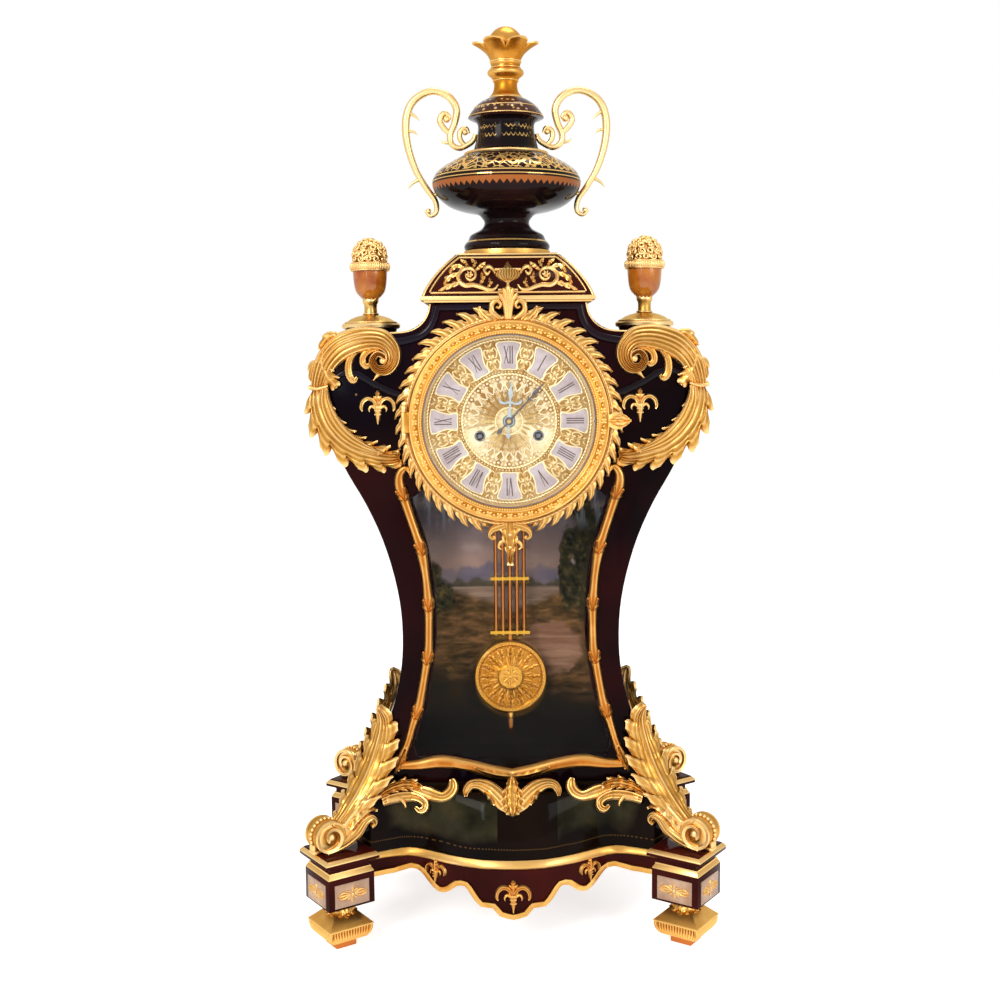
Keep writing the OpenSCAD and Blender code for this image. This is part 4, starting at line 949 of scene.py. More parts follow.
def make_urn_finial():
    """Turned stem with a flared foot, a bowl of six broad petals and a smooth domed bud."""
    stem = smooth_run([(16.4, 832), (13.2, 836), (11.8, 840.5), (11.6, 845), (13.2, 849.6), (17.2, 853.2),
                       (18.2, 855.4), (17.2, 857.8), (14.8, 859.6), (14.2, 862), (15.2, 864.6), (14.6, 867),
                       (15.4, 871), (17.2, 876)], 54)
    bud = smooth_run([(17.2, 876), (17.9, 881), (17.4, 886), (15.2, 891.4), (11, 896.2), (5.8, 899.2),
                      (0, 900)], 26)
    core = lathe([(3.0, 831), (17, 831), *stem, *bud[1:], (0, 853), (3.0, 853)], 64, closed=True)
    rings = [ring(14.9, 866.2, 1.1, steps=48), ring(12.4, 847.6, 0.8, steps=48),
             ring(14.6, 859.8, 0.8, steps=48)]
    piece([core, *rings, petal_bowl()], "urn_flower_finial", ORANGE_GILT, stands_for=("urn_finial",),
          sharp=45)


# Urn handles, as [across, up, radius] before they are swollen
HANDLE_SWELL = 1.3
HANDLE_MAIN = [(82, 721, 1.2), (77, 716, 1.6), (71, 720, 1.9), (72, 731, 2.1), (81, 744, 2.3),
               (91.5, 762, 2.5), (99, 786, 2.8), (100.5, 808, 3.0), (95.5, 825, 3.0), (84.5, 835, 2.8),
               (71, 838.5, 2.8), (57, 833, 2.8), (49.5, 821, 2.8), (51.5, 807, 2.6), (56, 796, 2.5),
               (55, 787, 2.3), (47, 782.5, 2.1), (38, 786, 2.1), (33, 790, 2.0), (30.4, 796, 1.6)]
HANDLE_VOLUTES = [[(55, 796, 2), (62, 802, 2.2), (66.5, 810, 2.2), (62, 817, 2), (56.5, 813, 1.6),
                   (59, 809, 1.1)],
                  [(40, 784, 1.5), (46, 791, 2), (46, 799, 2), (40, 802, 1.7), (37.5, 797, 1.2)]]
HANDLE_THORNS = [[(97, 818, 1.3), (91, 814, 1.0), (87, 810, 0.3)], [(99, 800, 1.3), (93, 799, 1.0),
                                                                    (89, 796, 0.3)],
                 [(88, 752, 1.3), (95, 748, 1.0), (99, 743, 0.3)], [(56, 788, 1.3), (62, 788, 1.0),
                                                                    (66, 791, 0.3)]]


def make_urn_handles():
    """Two scroll handles with volutes, thorns and beads."""
    for side, name in ((-1, "left"), (1, "right")):
        parts = []
        for route in [HANDLE_MAIN] + HANDLE_VOLUTES + HANDLE_THORNS:
            parts.append(rod([(side * x, 0, z) for x, z, r in route],
                             [r * HANDLE_SWELL for x, z, r in route]))
        parts.append(rod([(side * 66, 0, 737), (side * 71, 0, 737), (side * 76.5, 0, 737.2)],
                         [1.8, 1.8, 1.8]))
        for x, z, r in ((59.5, 811, 3.6), (41.0, 798, 3.0), (79.0, 720.6, 2.8)):
            parts.append(moved(bead(r, 12, 8), shift(side * x, 0, z)))
        piece(parts, f"urn_handle_scroll_{name}", PALE_GILT, stands_for=(f"urn_handle_{name}",), sharp=60)


# Shoulder mounts: a fluted scroll rolled to a volute, and a large acanthus leaf below its joint

SCROLL_BAND = [(184, 545, 7.5), (181, 557, 9.5), (175, 571, 11.5), (164, 583, 12.8), (149, 590, 12.6),
               (134, 592.5, 11.4), (121, 590.5, 10.2), (112.5, 582, 8.6), (111.5, 571, 7.2),
               (118, 562.6, 6.0), (127, 563.4, 4.8), (131, 571, 4.0), (126.5, 577.5, 3.4),
               (119.5, 575, 2.8), (120.5, 570, 1.6)]
SHOULDER_LEAF = [(184.5, 547, 8), (184.5, 537, 15), (182, 523, 19), (175.5, 508, 20), (164, 494.5, 19),
                 (149.5, 485, 17.5), (133, 479.5, 15), (117.5, 476.5, 11), (106.5, 477.5, 5)]


def shoulder_parts(side):
    """Leaf, fluted scroll and its smaller sprays, on the right when side is 1."""
    wall = front_plane(CASE_FRONT - 0.4, side)
    raised = front_plane(CASE_FRONT - 4.5, side)
    leaf_side = [(178, 580, 2), (180, 570, 7), (175, 558, 9.5), (169, 550, 6), (165.5, 545.5, 0.8)]
    parts = [
        strip(SHOULDER_LEAF, wall, leaf(7, 0.5, 0.75, 7.0, 1.0, 1.2, 0.6, 7), 132, 22, 2.0),
        strip([(178, 546, 4), (178, 530, 7), (171, 512, 8), (158, 497, 7.5), (143, 488, 6), (126, 482, 3)],
              front_plane(CASE_FRONT - 6.0, side), strands(4, 3.0, 1.0), 60, 14, 1.5),
        strip(SCROLL_BAND, front_plane(CASE_FRONT - 1.0, side), strands(6, 8.0, 1.2, 1.2), 120, 24, 2.0),
        strip([(120.5, 584, 3.5), (131, 583, 4), (139, 577, 3.6), (140.5, 569.5, 3.8), (136.5, 565.5, 3.2),
               (134.5, 568.5, 1.2)], wall, strands(3, 4.0, 0.7), 36, 10, 1.2),
        strip([(135, 585, 2.5), (147, 580.5, 3.4), (153.8, 570, 3.8), (154, 558, 4.4), (149.5, 552, 3.8),
               (146, 555.5, 1.6)], wall, strands(3, 4.6, 0.8), 40, 10, 1.2),
        strip([(116, 564, 4), (124, 559.5, 3.4), (130.6, 552.5, 0.6)], wall, rounded(3.4), 14, 8, 1.2),
        strip(leaf_side, raised, leaf(4, 0.45, 0.7, 3.0, 0.8, 0.4), 44, 12, 1.4),
        strip([(192.6, 546.5, 2.2), (184, 545, 3.0), (174, 547.5, 2.2)],
              front_plane(CASE_FRONT - 3.4, side), rounded(7.0), 12, 8, 1.2),
    ]
    for route in ([(158, 590, 2.5), (168, 596, 5), (176, 592, 4.5), (183, 583, 0.8)],
                  [(179, 562, 3), (187, 569, 5), (190, 561, 4), (191.5, 552, 0.8)]):
        parts.append(strip(route, wall, leaf(3, 0.35, 0.6, 3.0, 0.7), 30, 10, 1.4))
    tip = rod([(side * 121, CASE_FRONT - 6, 571), (side * 121, CASE_FRONT - 9.5, 571),
               (side * 121, CASE_FRONT - 11, 571)], [3.4, 2.8, 0.4])
    return parts + [tip]


def make_shoulder_mounts():
    """Both acanthus mounts beside the dial."""
    for side, name in ((-1, "left"), (1, "right")):
        piece(shoulder_parts(side), f"shoulder_acanthus_{name}", CAST_GILT,
              stands_for=(f"shoulder_mount_{name}",), sharp=55)


# Fleurs

def fleur_parts(size=1.0, lift=3.0):
    """Fleur drawn round its own middle: a cone below, two leaves that curl down, a lobed bud above."""
    plane = front_plane(0.0)

    def grow(route):
        return [(a * size, b * size, h * size) for a, b, h in route]

    parts = [strip(grow([(0, -16, 0.8), (0, -10, 2.2), (0, -3, 3.4), (0, 1.5, 3.2)]), plane, rounded(lift),
                   16, 8, 0.8),
             strip(grow([(0, 1, 2.2), (0, 6, 3.4), (0, 11, 4.4), (0, 16.5, 0.6)]), plane,
                   leaf(3, 0.5, 0.3, lift * 0.8, 0.5), 30, 10, 0.8)]
    for side in (1, -1):
        turned = front_plane(0.0, side)
        parts.append(strip(grow([(1, 0, 2.4), (4, 6.5, 2.4), (9.5, 8.8, 2.6), (14.5, 5.5, 2.5),
                                 (16, 0, 2.2), (14.8, -3.4, 1.0)]), turned, strands(2, lift * 0.8, 0.6), 30,
                           8, 0.8))
        parts.append(strip(grow([(2, -1, 1.4), (6, 1.2, 1.6), (8.4, -1.5, 1.2), (8, -4, 0.5)]), turned,
                           rounded(lift * 0.6), 14, 6, 0.8))
    for z in (-2.6, -6.5):
        parts.append(strip(grow([(-3.2, z, 0.7), (0, z - 0.4, 0.7), (3.2, z, 0.7)]),
                           front_plane(-lift * 0.75), rounded(0.9), 8, 4, 0.5))
    return parts


def fleur(place, size, lift=3.0, turn=0.0):
    """One joined fleur set at a place and turned about the upright by so many degrees."""
    return moved(joined(fleur_parts(size, lift)), shift(*place) @ upright(turn))


def make_fleurs():
    """Fleurs of the shoulders and of the apron's front and back."""
    piece([fleur((side * 127, CASE_FRONT - 0.5, 526), 1.0) for side in (-1, 1)], "shoulder_fleur_pair",
          CAST_GILT, stands_for=("shoulder_fleurs",), sharp=50)
    front = [fleur((0, -125.4, 53), 1.0, 3.4), fleur((-76, -100.0, 69), 0.7, 3.0, -32.7),
             fleur((76, -100.0, 69), 0.7, 3.0, 32.7)]
    back = [twin(obj, upright(180)) for obj in front]
    piece(front + back, "apron_fleur_set", FRAME_GILT, stands_for=("apron_fleurs",), sharp=50)


# Corner consoles, in their own plane: u outwards from the clock's axis, t across, z up

CONSOLE_LEAF = [(209, 113, 11), (200, 122, 17.5), (189, 134, 22.5), (177.5, 149, 25.5), (167.5, 165, 25),
                (160, 181, 22), (154.6, 196, 18), (151.4, 207, 14.5), (150.4, 217, 10.5), (151.6, 225, 6.0),
                (154.4, 231, 0.6)]
VOLUTE = (216.0, CAP_TOP + 16.2)


def console_leaf():
    """Tall acanthus leaf that leans against the case."""
    along, across = 126, 26
    run = smooth_run(CONSOLE_LEAF, along + 1)
    spine, way, _ = in_side_plane(run[:, 0], run[:, 1])
    side = np.tile([-0.5, 0.866, 0], (along + 1, 1))
    rise = unit(np.cross(side, way))
    rise *= np.sign(rise[:, :1])
    return laid(spine, way, side, rise, run[:, 2], leaf(7, 0.34, 0.62, 3.4, 0.9, -3.6, 1.2, 9), along,
                across, 2.4)


def volute_ribbon():
    """Ribbon rolled up at the console's foot, with raised edges."""
    along, across = 110, 16
    t = np.linspace(0, 1, along + 1)
    angle = math.radians(150) - t * math.radians(560)
    reach = 15.4 - 10.2 * np.clip((t - 0.35) / 0.65, 0, 1)
    spine, way, side = in_side_plane(VOLUTE[0] + reach * np.cos(angle), VOLUTE[1] + reach * np.sin(angle))
    rise = np.column_stack([np.cos(angle), np.zeros(along + 1), np.sin(angle)])
    half = 13.0 + 2.2 * t

    def form(u, v):
        edge = 0.9 * np.exp(-((np.abs(v) - 0.84) / 0.13) ** 2)
        return v, 0 * u, edge + 0.5 * np.exp(-((np.abs(v) - 0.42) / 0.08) ** 2)
    return laid(spine, way, side, rise, half, form, along, across, 3.0)


def console_parts():
    """Leaf, volute, core and side sprays of one console."""
    parts = [console_leaf(), volute_ribbon()]
    boss = [(0, 14.6), (2.4, 14.2), (4.2, 12.6), (5.0, 11.4), (9, 11.2), (12.6, 10.6), (12.9, 9.0),
            (12.9, -9.0), (12.6, -10.6), (9, -11.2), (5.0, -11.4), (4.2, -12.6), (2.4, -14.2), (0, -14.6)]
    parts.append(lathe(boss, 40, (VOLUTE[0], 0, VOLUTE[1]), "Y"))
    parts += beads([(VOLUTE[0] + 16 * math.cos(a), 0, VOLUTE[1] + 16 * math.sin(a))
                    for a in np.radians(np.arange(118, -92, -15))], 1.9, 10, 6)
    parts.append(box((223.5, -5.5, CAP_TOP - 0.2), (232.0, 5.5, CAP_TOP + 3.4), 1.2))
    parts.append(box((227.5, -4.6, CAP_TOP + 2.6), (232.0, 4.6, CAP_TOP + 9.5), 1.4))
    web = [(172, 146), (188, 122), (196, 104), (206, CAP_TOP), (222, CAP_TOP), (218, 112), (214, 124),
           (200, 124), (180, 142)]
    n = len(web)
    obj = from_points("web", [(u, t, z) for t in (-9.5, 9.5) for u, z in web],
                      faces=[tuple(range(n)), tuple(range(2 * n - 1, n - 1, -1))]
                      + [((i + 1) % n, i, i + n, (i + 1) % n + n) for i in range(n)])
    parts.append(use(mend(obj), "BEVEL", width=1.2 * MM, segments=2, limit_method="ANGLE"))
    for sign in (1, -1):
        plane = (np.array([0, sign * 9.0, 0]), np.array([1.0, 0, 0]), np.array([0, 0, 1.0]),
                 np.array([0, sign * 1.0, 0]))
        parts.append(strip([(221, 99.5, 2.5), (210, 101.5, 4.2), (198, 105.5, 6), (187, 112, 6.4),
                            (178.5, 121.5, 5.4), (171, 124, 4.2), (167.6, 118.6, 3.2), (171, 114.8, 1.4)],
                           plane, strands(4, 5.0, 0.9), 60, 14, 1.6))
        parts.append(strip([(196, 118, 3), (188, 125, 5), (179, 131, 5), (171, 133, 3.4), (166, 131, 0.8)],
                           plane, leaf(4, 0.4, 0.6, 5.0, 0.8), 44, 12, 1.4))
        parts.append(strip([(214, 127, 2.5), (206, 122, 4), (203, 113, 4), (207, 104.5, 3.4),
                            (215, 102, 1.6)], plane,
                           strands(2, 4.4, 0.7), 36, 10, 1.4))
    return parts


def make_consoles():
    """The same console at all four corners."""
    master = joined(console_parts())
    moved(master, Matrix.Rotation(BLOCK_TURN, 4, "Z") @ shift(y=-7))
    made = [("back_right", master)] + [(name, twin(master, matrix)) for name, matrix in (
        ("front_right", MIRROR_Y), ("back_left", MIRROR_X), ("front_left", MIRROR_BOTH))]
    for name, obj in made:
        piece(obj, f"corner_acanthus_{name}", CAST_GILT, stands_for=(f"console_{name}",), sharp=55)


# Centre leaf and side scrolls of the base

# Forward reach of the skirt's upper edge at places across the front
EDGE_X = [0, 20, 40, 60, 80, 100, 120, 135]
EDGE_REACH = [106.3, 105.3, 101.8, 95.5, 87.1, 81.8, 84.7, 89.1]
SCROLL_LEAN = math.radians(25)


def on_skirt(obj):
    """Bends a flat front drawing to the skirt's upper edge, leaning back."""
    co = places(obj)
    up, out = co[:, 2] - SKIRT_EDGE_Z, -co[:, 1]
    reach = np.interp(np.abs(co[:, 0]), EDGE_X, EDGE_REACH)
    lean, tall = math.sin(SCROLL_LEAN), math.cos(SCROLL_LEAN)
    return put(obj,
               np.column_stack([co[:, 0], up * lean - out * tall - reach,
                                SKIRT_EDGE_Z + up * tall + out * lean]))


def make_base_scrolls():
    """Centre leaf and side scrolls, on the base's front and back."""
    wall, raised = front_plane(0.0), front_plane(-1.6)

    def full(route):
        return [(a, b, h * 1.2) for a, b, h in route]
    half = [
        strip(full([(98, 147, 3), (90, 146, 4.8), (82, 144, 5.8), (74, 142.2, 5.0), (68, 142.2, 4.4),
                    (62, 146, 4.8), (58.6, 151.5, 4.8), (58.4, 156.4, 4.2), (59.6, 160, 2.6)]), wall,
              strands(3, 4.6, 0.9), 70, 12, 1.6),
        strip(full([(128, 136, 3.6), (116, 139, 4.4), (104, 139.8, 4.6), (93, 138.2, 4.0), (86.8, 134, 3.8),
                    (87, 128.6, 3.4), (91.4, 126, 2.8), (96, 129, 1.6)]), wall, strands(3, 4.6, 0.8), 66,
              12, 1.6),
        strip([(133, 140, 3.4), (121, 147.5, 6.4), (107, 151, 7.4), (96, 149.5, 6), (88.6, 147, 1)], raised,
              leaf(5, 0.45, 0.7, 5.0, 0.9, 0.8, 0.8, 5), 76, 16, 1.6),
        strip([(124, 137, 3), (112, 138, 3), (107, 133, 2.2), (105.2, 128.3, 0.5)], raised, rounded(3.6),
              30, 8, 1.4),
        strip(full([(45.6, 144.4, 1.4), (45.2, 150, 3.2), (41, 156, 3.8), (33, 157.4, 4.6),
                    (23.5, 154, 6.4), (15, 147, 7.2), (8, 139, 7.2), (2, 131, 3)]), wall,
              strands(4, 5.0, 0.9), 80, 18, 1.6),
        strip([(27, 150, 2), (22, 145, 3.4), (19, 141, 2.6), (17.2, 137.4, 0.5)], raised,
              leaf(2, 0.4, 0.5, 3.6, 0.6), 26, 8, 1.4)]
    mirrored = [twin(obj, MIRROR_X) for obj in half]
    centre = [strip([(0, 127, 1.0), (0, 133, 7.4), (0, 142, 13), (0, 152, 12), (0, 160.5, 7.2),
                     (0, 166.4, 1.6)],
                    front_plane(-3.4), leaf(5, 0.4, -0.5, 4.4, 0.9, 0.0, 1.2, 7), 74, 18, 1.8)]
    front = on_skirt(joined(half + mirrored + centre))
    back = twin(front, upright(180))
    piece([front, back], "base_leaf_scrolls", CAST_GILT, stands_for=("base_cartouche",), sharp=55)


# Window frame of gilt twigs

SIDE_TWIG = [(113.5, 165, 2.4), (111, 176, 5), (104, 192, 4), (97.5, 213, 4.2), (93.5, 225, 5.6),
             (90, 237, 4.4), (84.5, 268, 4.2), (82.5, 280, 5.4), (81.2, 291, 4.2), (80.5, 322, 4.3),
             (80.8, 333, 5.6), (81.6, 344, 4.4), (83.6, 365, 4.2), (87.6, 389, 5.6), (91.4, 401, 4.5),
             (102, 434, 4.7), (107, 450, 5.2), (106.6, 461, 4.4), (101, 467, 3), (97.5, 463, 1.2)]
FOOT_TWIG = [(0, 158.4, 6.2), (22, 162.4, 6.8), (45, 169, 6.2), (71, 172.5, 6.8), (93, 170, 5.4),
             (114, 169, 3.6)]
KNOTS = [(93.5, 225, 107), (82.5, 280, 98), (80.8, 333, 88), (87.6, 389, 72), (104.6, 442, 68)]


def make_window_frame():
    """Knotty twigs round the window, with leaves at their corners."""
    wall = front_plane(CASE_FRONT - 0.2)
    half = [strip(SIDE_TWIG, wall, rounded(6.2, 0.8), 150, 10, 1.2),
            strip(FOOT_TWIG, wall, rounded(5.8, 0.7), 60, 10, 1.2),
            strip([(116, 163, 2), (112, 171, 5), (108, 181, 3.6), (105, 190, 0.8)],
                  front_plane(CASE_FRONT - 2.2), leaf(3, 0.35, 0.5, 4.6, 0.7), 26, 10, 1.2),
            strip([(1, 159, 3), (14, 160.5, 5.6), (27, 164, 4.6), (38, 168, 0.8)],
                  front_plane(CASE_FRONT - 2.2), leaf(4, 0.35, 0.5, 4.4, 0.7), 36, 10, 1.2)]
    for x, z, lean_deg in KNOTS:
        a = math.radians(lean_deg)
        along = np.array([math.cos(a), math.sin(a)])
        cross = np.array([-along[1], along[0]])
        for sign in (1, -1):
            spots = [np.array([x, z]) + along * d + cross * sign * s for d,
                     s in ((-8, 0.6), (-3.4, 2.6), (1.6, 3.6), (5.4, 4.8))]
            route = [(p[0], p[1], h) for p, h in zip(spots, (2.0, 3.2, 2.6, 0.5))]
            half.append(strip(route, front_plane(CASE_FRONT - 2.6), leaf(2, 0.25, 0.5, 4.6, 0.6), 22, 8,
                              1.0))
    parts = half + [twin(obj, MIRROR_X) for obj in half]
    piece(parts, "window_twig_frame", FRAME_GILT, stands_for=("window_frame",), sharp=55)


# Fixed foliage round the bezel, and the hinged ring

def on_dial(r, degrees, side=0.0):
    """Place [across, up], r from the dial's centre, degrees round from twelve and side millimetres off."""
    a = math.radians(degrees)
    return r * math.sin(a) + side * math.cos(a), DIAL_Z + r * math.cos(a) - side * math.sin(a)


def dial_route(spots, degrees):
    """Route of [side, r, half width] or [side, r, half width, lift] points, turned round the dial."""
    return [(*on_dial(r, degrees, side), *rest) for side, r, *rest in spots]


def dial_spots(r, count, y, start=0.0):
    """Evenly spaced places [x, y, z] on a circle round the dial's centre."""
    return [(x, y, z) for x, z in (on_dial(r, start + 360 * i / count) for i in range(count))]


def roped_ring(radius, y, round_r, count, deep=0.25):
    """Ring round the dial, cut with slanting ribs."""
    obj = ring(radius, 0, round_r, (0, y, DIAL_Z), "Y", count * 5)
    co = places(obj)
    across, up = co[:, 0], co[:, 2] - DIAL_Z
    out = np.hypot(across, up)
    turn = np.arctan2(up, across)
    section = np.arctan2(y - co[:, 1], out - radius)
    swell = 1 + deep * np.cos(count * turn + 1.2 * section)
    reach = (radius + (out - radius) * swell) / out
    return put(obj, np.column_stack([across * reach, y + (co[:, 1] - y) * swell, DIAL_Z + up * reach]))


def flame(crown=2.6, groove=0.9, notch=0.3):
    """Three-stranded leaf that flattens to its tip, with a notch in its outer edge."""
    def form(u, v):
        fade = np.sqrt(np.clip(1 - u, 0, 1)) * 0.85 + 0.15
        width = v * (1 - notch * np.exp(-((u - 0.52) / 0.09) ** 2))
        furrow = groove * np.exp(-((np.abs(v) - 0.42) / 0.14) ** 2)
        return width, 0 * u, fade * (crown * (1 - v * v) - furrow)
    return form


def rim_leaves():
    """Large and small flame-like leaves round the surround, their tips leaning away from the crest."""
    large = [(-3.4, 95, 4.6, 0), (-2.4, 99.6, 6.0, 0), (0.0, 104.2, 5.0, -0.6), (3.6, 107.8, 3.0, -1.8),
             (7.6, 110.2, 1.4, -3.0), (10.4, 111.0, 0.1, -3.6)]
    small = [(-1.8, 95, 3.4, 0), (-1.2, 99.6, 4.4, 0), (0.8, 103.0, 3.2, -0.8), (3.6, 105.0, 1.6, -1.8),
             (6.2, 105.6, 0.1, -2.4)]
    parts = []
    for side in (-1, 1):
        for i in range(20):
            at = 13 + 7.8 * i
            rise = 3.0 if i < 5 else -1.2
            for spots, turn, depth in ((large, at, 5.0), (small, at + 4.2, 4.2)):
                grown = [(s, r + rise * (r - 94) / 17, h, lift) for s, r, h, lift in spots]
                parts.append(strip(dial_route(grown, turn), front_plane(CASE_FRONT - depth, side), flame(),
                                   26, 8, 1.6))
    return parts


def crest_parts():
    """Fan of strands between two volutes, which ties the surround to the pediment."""
    parts = []
    for lean, top, half in ((0, 641, 2.4), (3.8, 639, 2.1), (7.0, 634.6, 1.9)):
        for side in ((1, -1) if lean else (1,)):
            parts.append(strip([(lean * 0.25, 604, half * 0.7), (lean * 0.35, 614, half * 0.9),
                                (lean * 0.6, 626, half), (lean, top - 3, half * 1.2),
                                (lean * 1.25, top, half * 0.3)],
                               front_plane(CASE_FRONT - 7.5, side), rounded(3.0), 30, 8, 3.0))
    for side in (1, -1):
        front = front_plane(CASE_FRONT - 7.2, side)
        parts.append(strip([(3, 603, 2), (6.4, 609, 2.8), (11.6, 613, 3.0), (15.6, 618, 2.8),
                            (15, 624.4, 2.6), (10.4, 627, 2.2), (7.2, 623.6, 1.8), (8.8, 620.4, 1.4),
                            (11.4, 621.6, 0.9)],
                           front, rounded(2.6), 48, 8, 2.4))
        parts.append(strip([(12, 605, 4.0, 0), (18, 609.4, 6.2, 0), (23, 613.6, 5.0, -0.8),
                            (26.6, 618, 2.8, -1.8), (28, 622.4, 0.2, -2.8)], front, flame(), 26, 10, 2.0))
    return parts


def pendant_parts():
    """Leafy drop below the dial."""
    drop = [(0, 417, 7), (0, 409, 10), (0, 401, 11.4), (0, 394.5, 8.4), (0, 389.5, 7.0), (0, 384, 5.4),
            (0, 379.6, 4.6), (0, 375, 3.2), (0, 371.4, 0.5)]
    parts = [strip(drop, front_plane(CASE_FRONT - 7.4), leaf(5, 0.4, -0.5, 3.0, 0.9, 0.0, 1.4, 5), 70, 14,
                   3.4)]
    for side in (1, -1):
        front = front_plane(CASE_FRONT - 6.6, side)
        parts.append(strip([(2, 411, 3), (10, 409, 4), (17, 406, 3.4), (20, 401, 2.4), (17, 397.6, 1.6),
                            (14.6, 400, 0.8)], front, strands(2, 3.0, 0.6), 36, 8, 2.4))
        parts.append(strip([(3, 396, 1.6), (8.6, 394.4, 2.2), (11, 390, 1.8), (8.6, 387, 1.0)], front,
                           rounded(2.4), 20, 8, 2.0))
    parts += beads([(0, CASE_FRONT - 10.4, 402), (0, CASE_FRONT - 10.2, 389.6)], 2.2)
    return parts


HINGE = (-101.5, -88.5)


def knuckle(low, high):
    """Turned knuckle of the bezel's hinge with a bore for its pin."""
    return lathe([(1.2, low), (2.3, low), (2.6, low + 0.5), (2.6, high - 0.5), (2.3, high), (1.2, high)],
                 24, (*HINGE, 0), closed=True)


def make_surround():
    """Fixed ring round the dial with its rope, leaves, crest, pendant and hinge knuckles."""
    flat_ring = lathe([(84, 0), (102.6, 0), (102.6, 4.4), (101.4, 6.2), (99.4, 7.6), (97.2, 8.2), (86, 8.2),
                       (84, 7.4)],
                      192, (0, CASE_FRONT, DIAL_Z), "Y", closed=True)
    parts = [flat_ring, roped_ring(99.6, CASE_FRONT - 7.0, 1.3, 150, 0.12)]
    parts += rim_leaves() + crest_parts() + pendant_parts()
    for low in (DIAL_Z - 16, DIAL_Z + 10):
        parts.append(knuckle(low, low + 6))
        parts.append(box((HINGE[0] - 2, HINGE[1] + 1.8, low + 0.4),
                         (HINGE[0] + 2, CASE_FRONT - 6, low + 5.6)))
    piece(parts, "bezel_foliage_surround", CAST_GILT, stands_for=("bezel_surround",), sharp=50)


def make_bezel_ring():
    """Hinged ring with a band of little flowers, a dark line, a row of beads and a leafy thumb piece."""
    dressed("bezel_ring", "bezel_hinged_ring", BEZEL_GILT, 0.3, "bezel_door")
    y = -91.4
    flowers = []
    for x, _, z in dial_spots(91.0, 56, y):
        a = math.atan2(x, z - DIAL_Z)
        for turn in (0.8, -0.8, 2.34, -2.34):
            flowers.append((x + 1.9 * math.sin(a + turn), y, z + 1.9 * math.cos(a + turn)))
    parts = beads(flowers, 1.35, 6, 4, 0.8) + beads(dial_spots(91.0, 56, y, 3.2), 1.1, 6, 4, 0.8)
    parts += beads(dial_spots(91.0, 56, y - 0.5), 0.9, 6, 4, 0.8)
    parts += [ring(95.6, 0, 0.8, (0, y, DIAL_Z), "Y", 128), ring(86.9, 0, 0.6, (0, -92.2, DIAL_Z), "Y",
                                                                 128)]
    parts += beads(dial_spots(84.9, 216, -91.9), 1.0, 6, 4)
    for tilt in (4.4, -4.4):
        parts.append(strip([(96, 512, 2.4), (103, 512 + tilt, 3.0), (109, 512 + tilt * 1.1, 2.4),
                            (115, 512 + tilt * 0.3, 0.5)],
                           front_plane(-90.6), leaf(3, 0.35, 0.5, 1.6, 0.5), 26, 8, 1.4))
    parts.append(strip([(95, 512, 2.6), (103, 512, 3.0), (111, 512, 2.2), (117, 512, 0.4)],
                       front_plane(-91.0), leaf(3, 0.3, 0.6, 1.8, 0.5), 26, 8, 1.4))
    piece(parts, "bezel_flowers_and_beads", BEZEL_GILT, "bezel_door", sharp=60)
    dark = [ring(83.0, 0, 0.6, (0, -90.0, DIAL_Z), "Y", 128)] + beads([(82.8, -91.0, DIAL_Z)], 1.4, 10, 6)
    piece(dark, "bezel_dark_line", DARK_STEEL, "bezel_door")


# Dial: relief, cartouche borders, numerals and winding collets

DIAL_FACE = -79.0
HOLE_TURNS = (116.6, 243.4)
HOLE_R = 31.66
CARTOUCHE = [(0, 50.2), (5, 49.8), (8.2, 50.6), (7.2, 57), (8.4, 64), (10.8, 70), (12, 74.6), (8, 76.2),
             (0, 76.9)]
NUMERALS = ("XII", "I", "II", "III", "IIII", "V", "VI", "VII", "VIII", "IX", "X", "XI")
# Width of each letter, and its strokes as [side at the top, side at the foot, half width]
LETTERS = {"I": (2.2, [(0, 0, 0.46)]), "V": (4.8, [(-1.9, 0, 0.46), (1.9, 0, 0.24)]),
           "X": (5.0, [(-2.0, 2.0, 0.46), (2.0, -2.0, 0.24)])}


def plain(u, v):
    """Form of a flat strip."""
    return v, 0 * u, 0 * u


def numeral_parts():
    """Strokes of the twelve numerals, their feet towards the centre."""
    parts = []
    for hour, word in enumerate(NUMERALS):
        whole = sum(LETTERS[letter][0] for letter in word)
        fit = min(1.0, 11.0 / whole)
        at = -whole / 2
        for letter in word:
            width, marks = LETTERS[letter]
            middle_x = at + width / 2
            at += width
            for top, foot, half in marks:
                spots = [((middle_x + foot) * fit, 55.5, half), ((middle_x + top) * fit, 72.5, half)]
                parts.append(strip(dial_route(spots, 30 * hour), front_plane(DIAL_FACE - 1.1), plain, 1, 1,
                                   0.25))
    return parts


def dial_rays():
    """Leafy rays round the hands, cut short beside the winding holes."""
    parts = []
    for i in range(24):
        turn = 7.5 + 15 * i
        by_hole = any(abs(turn - hole) < 12 for hole in HOLE_TURNS)
        spots = [(0, 14.6, 1.0), (0, 18, 1.6), (0, 23, 0.4)] if by_hole else [
            (0, 14.6, 1.0), (0, 21, 1.9), (0, 32, 3.0), (0, 40, 3.6), (0, 44, 0.6)]
        parts.append(strip(dial_route(spots, turn), front_plane(DIAL_FACE - 0.1),
                           leaf(5, 0.38, 0.7, 1.1, 0.4, 0.0, 0.5, 3), 40, 10, 0.5))
    for hole in HOLE_TURNS:
        x, z = on_dial(HOLE_R, hole)
        for turn in range(0, 360, 40):
            a = math.radians(turn)
            parts.append(strip([(x + 7.0 * math.cos(a), z + 7.0 * math.sin(a), 0.7),
                                (x + 8.6 * math.cos(a + 0.15), z + 8.6 * math.sin(a + 0.15), 1.5),
                                (x + 10.4 * math.cos(a + 0.4), z + 10.4 * math.sin(a + 0.4), 0.3)],
                               front_plane(DIAL_FACE - 0.1), rounded(0.9), 8, 4, 0.4))
    return parts


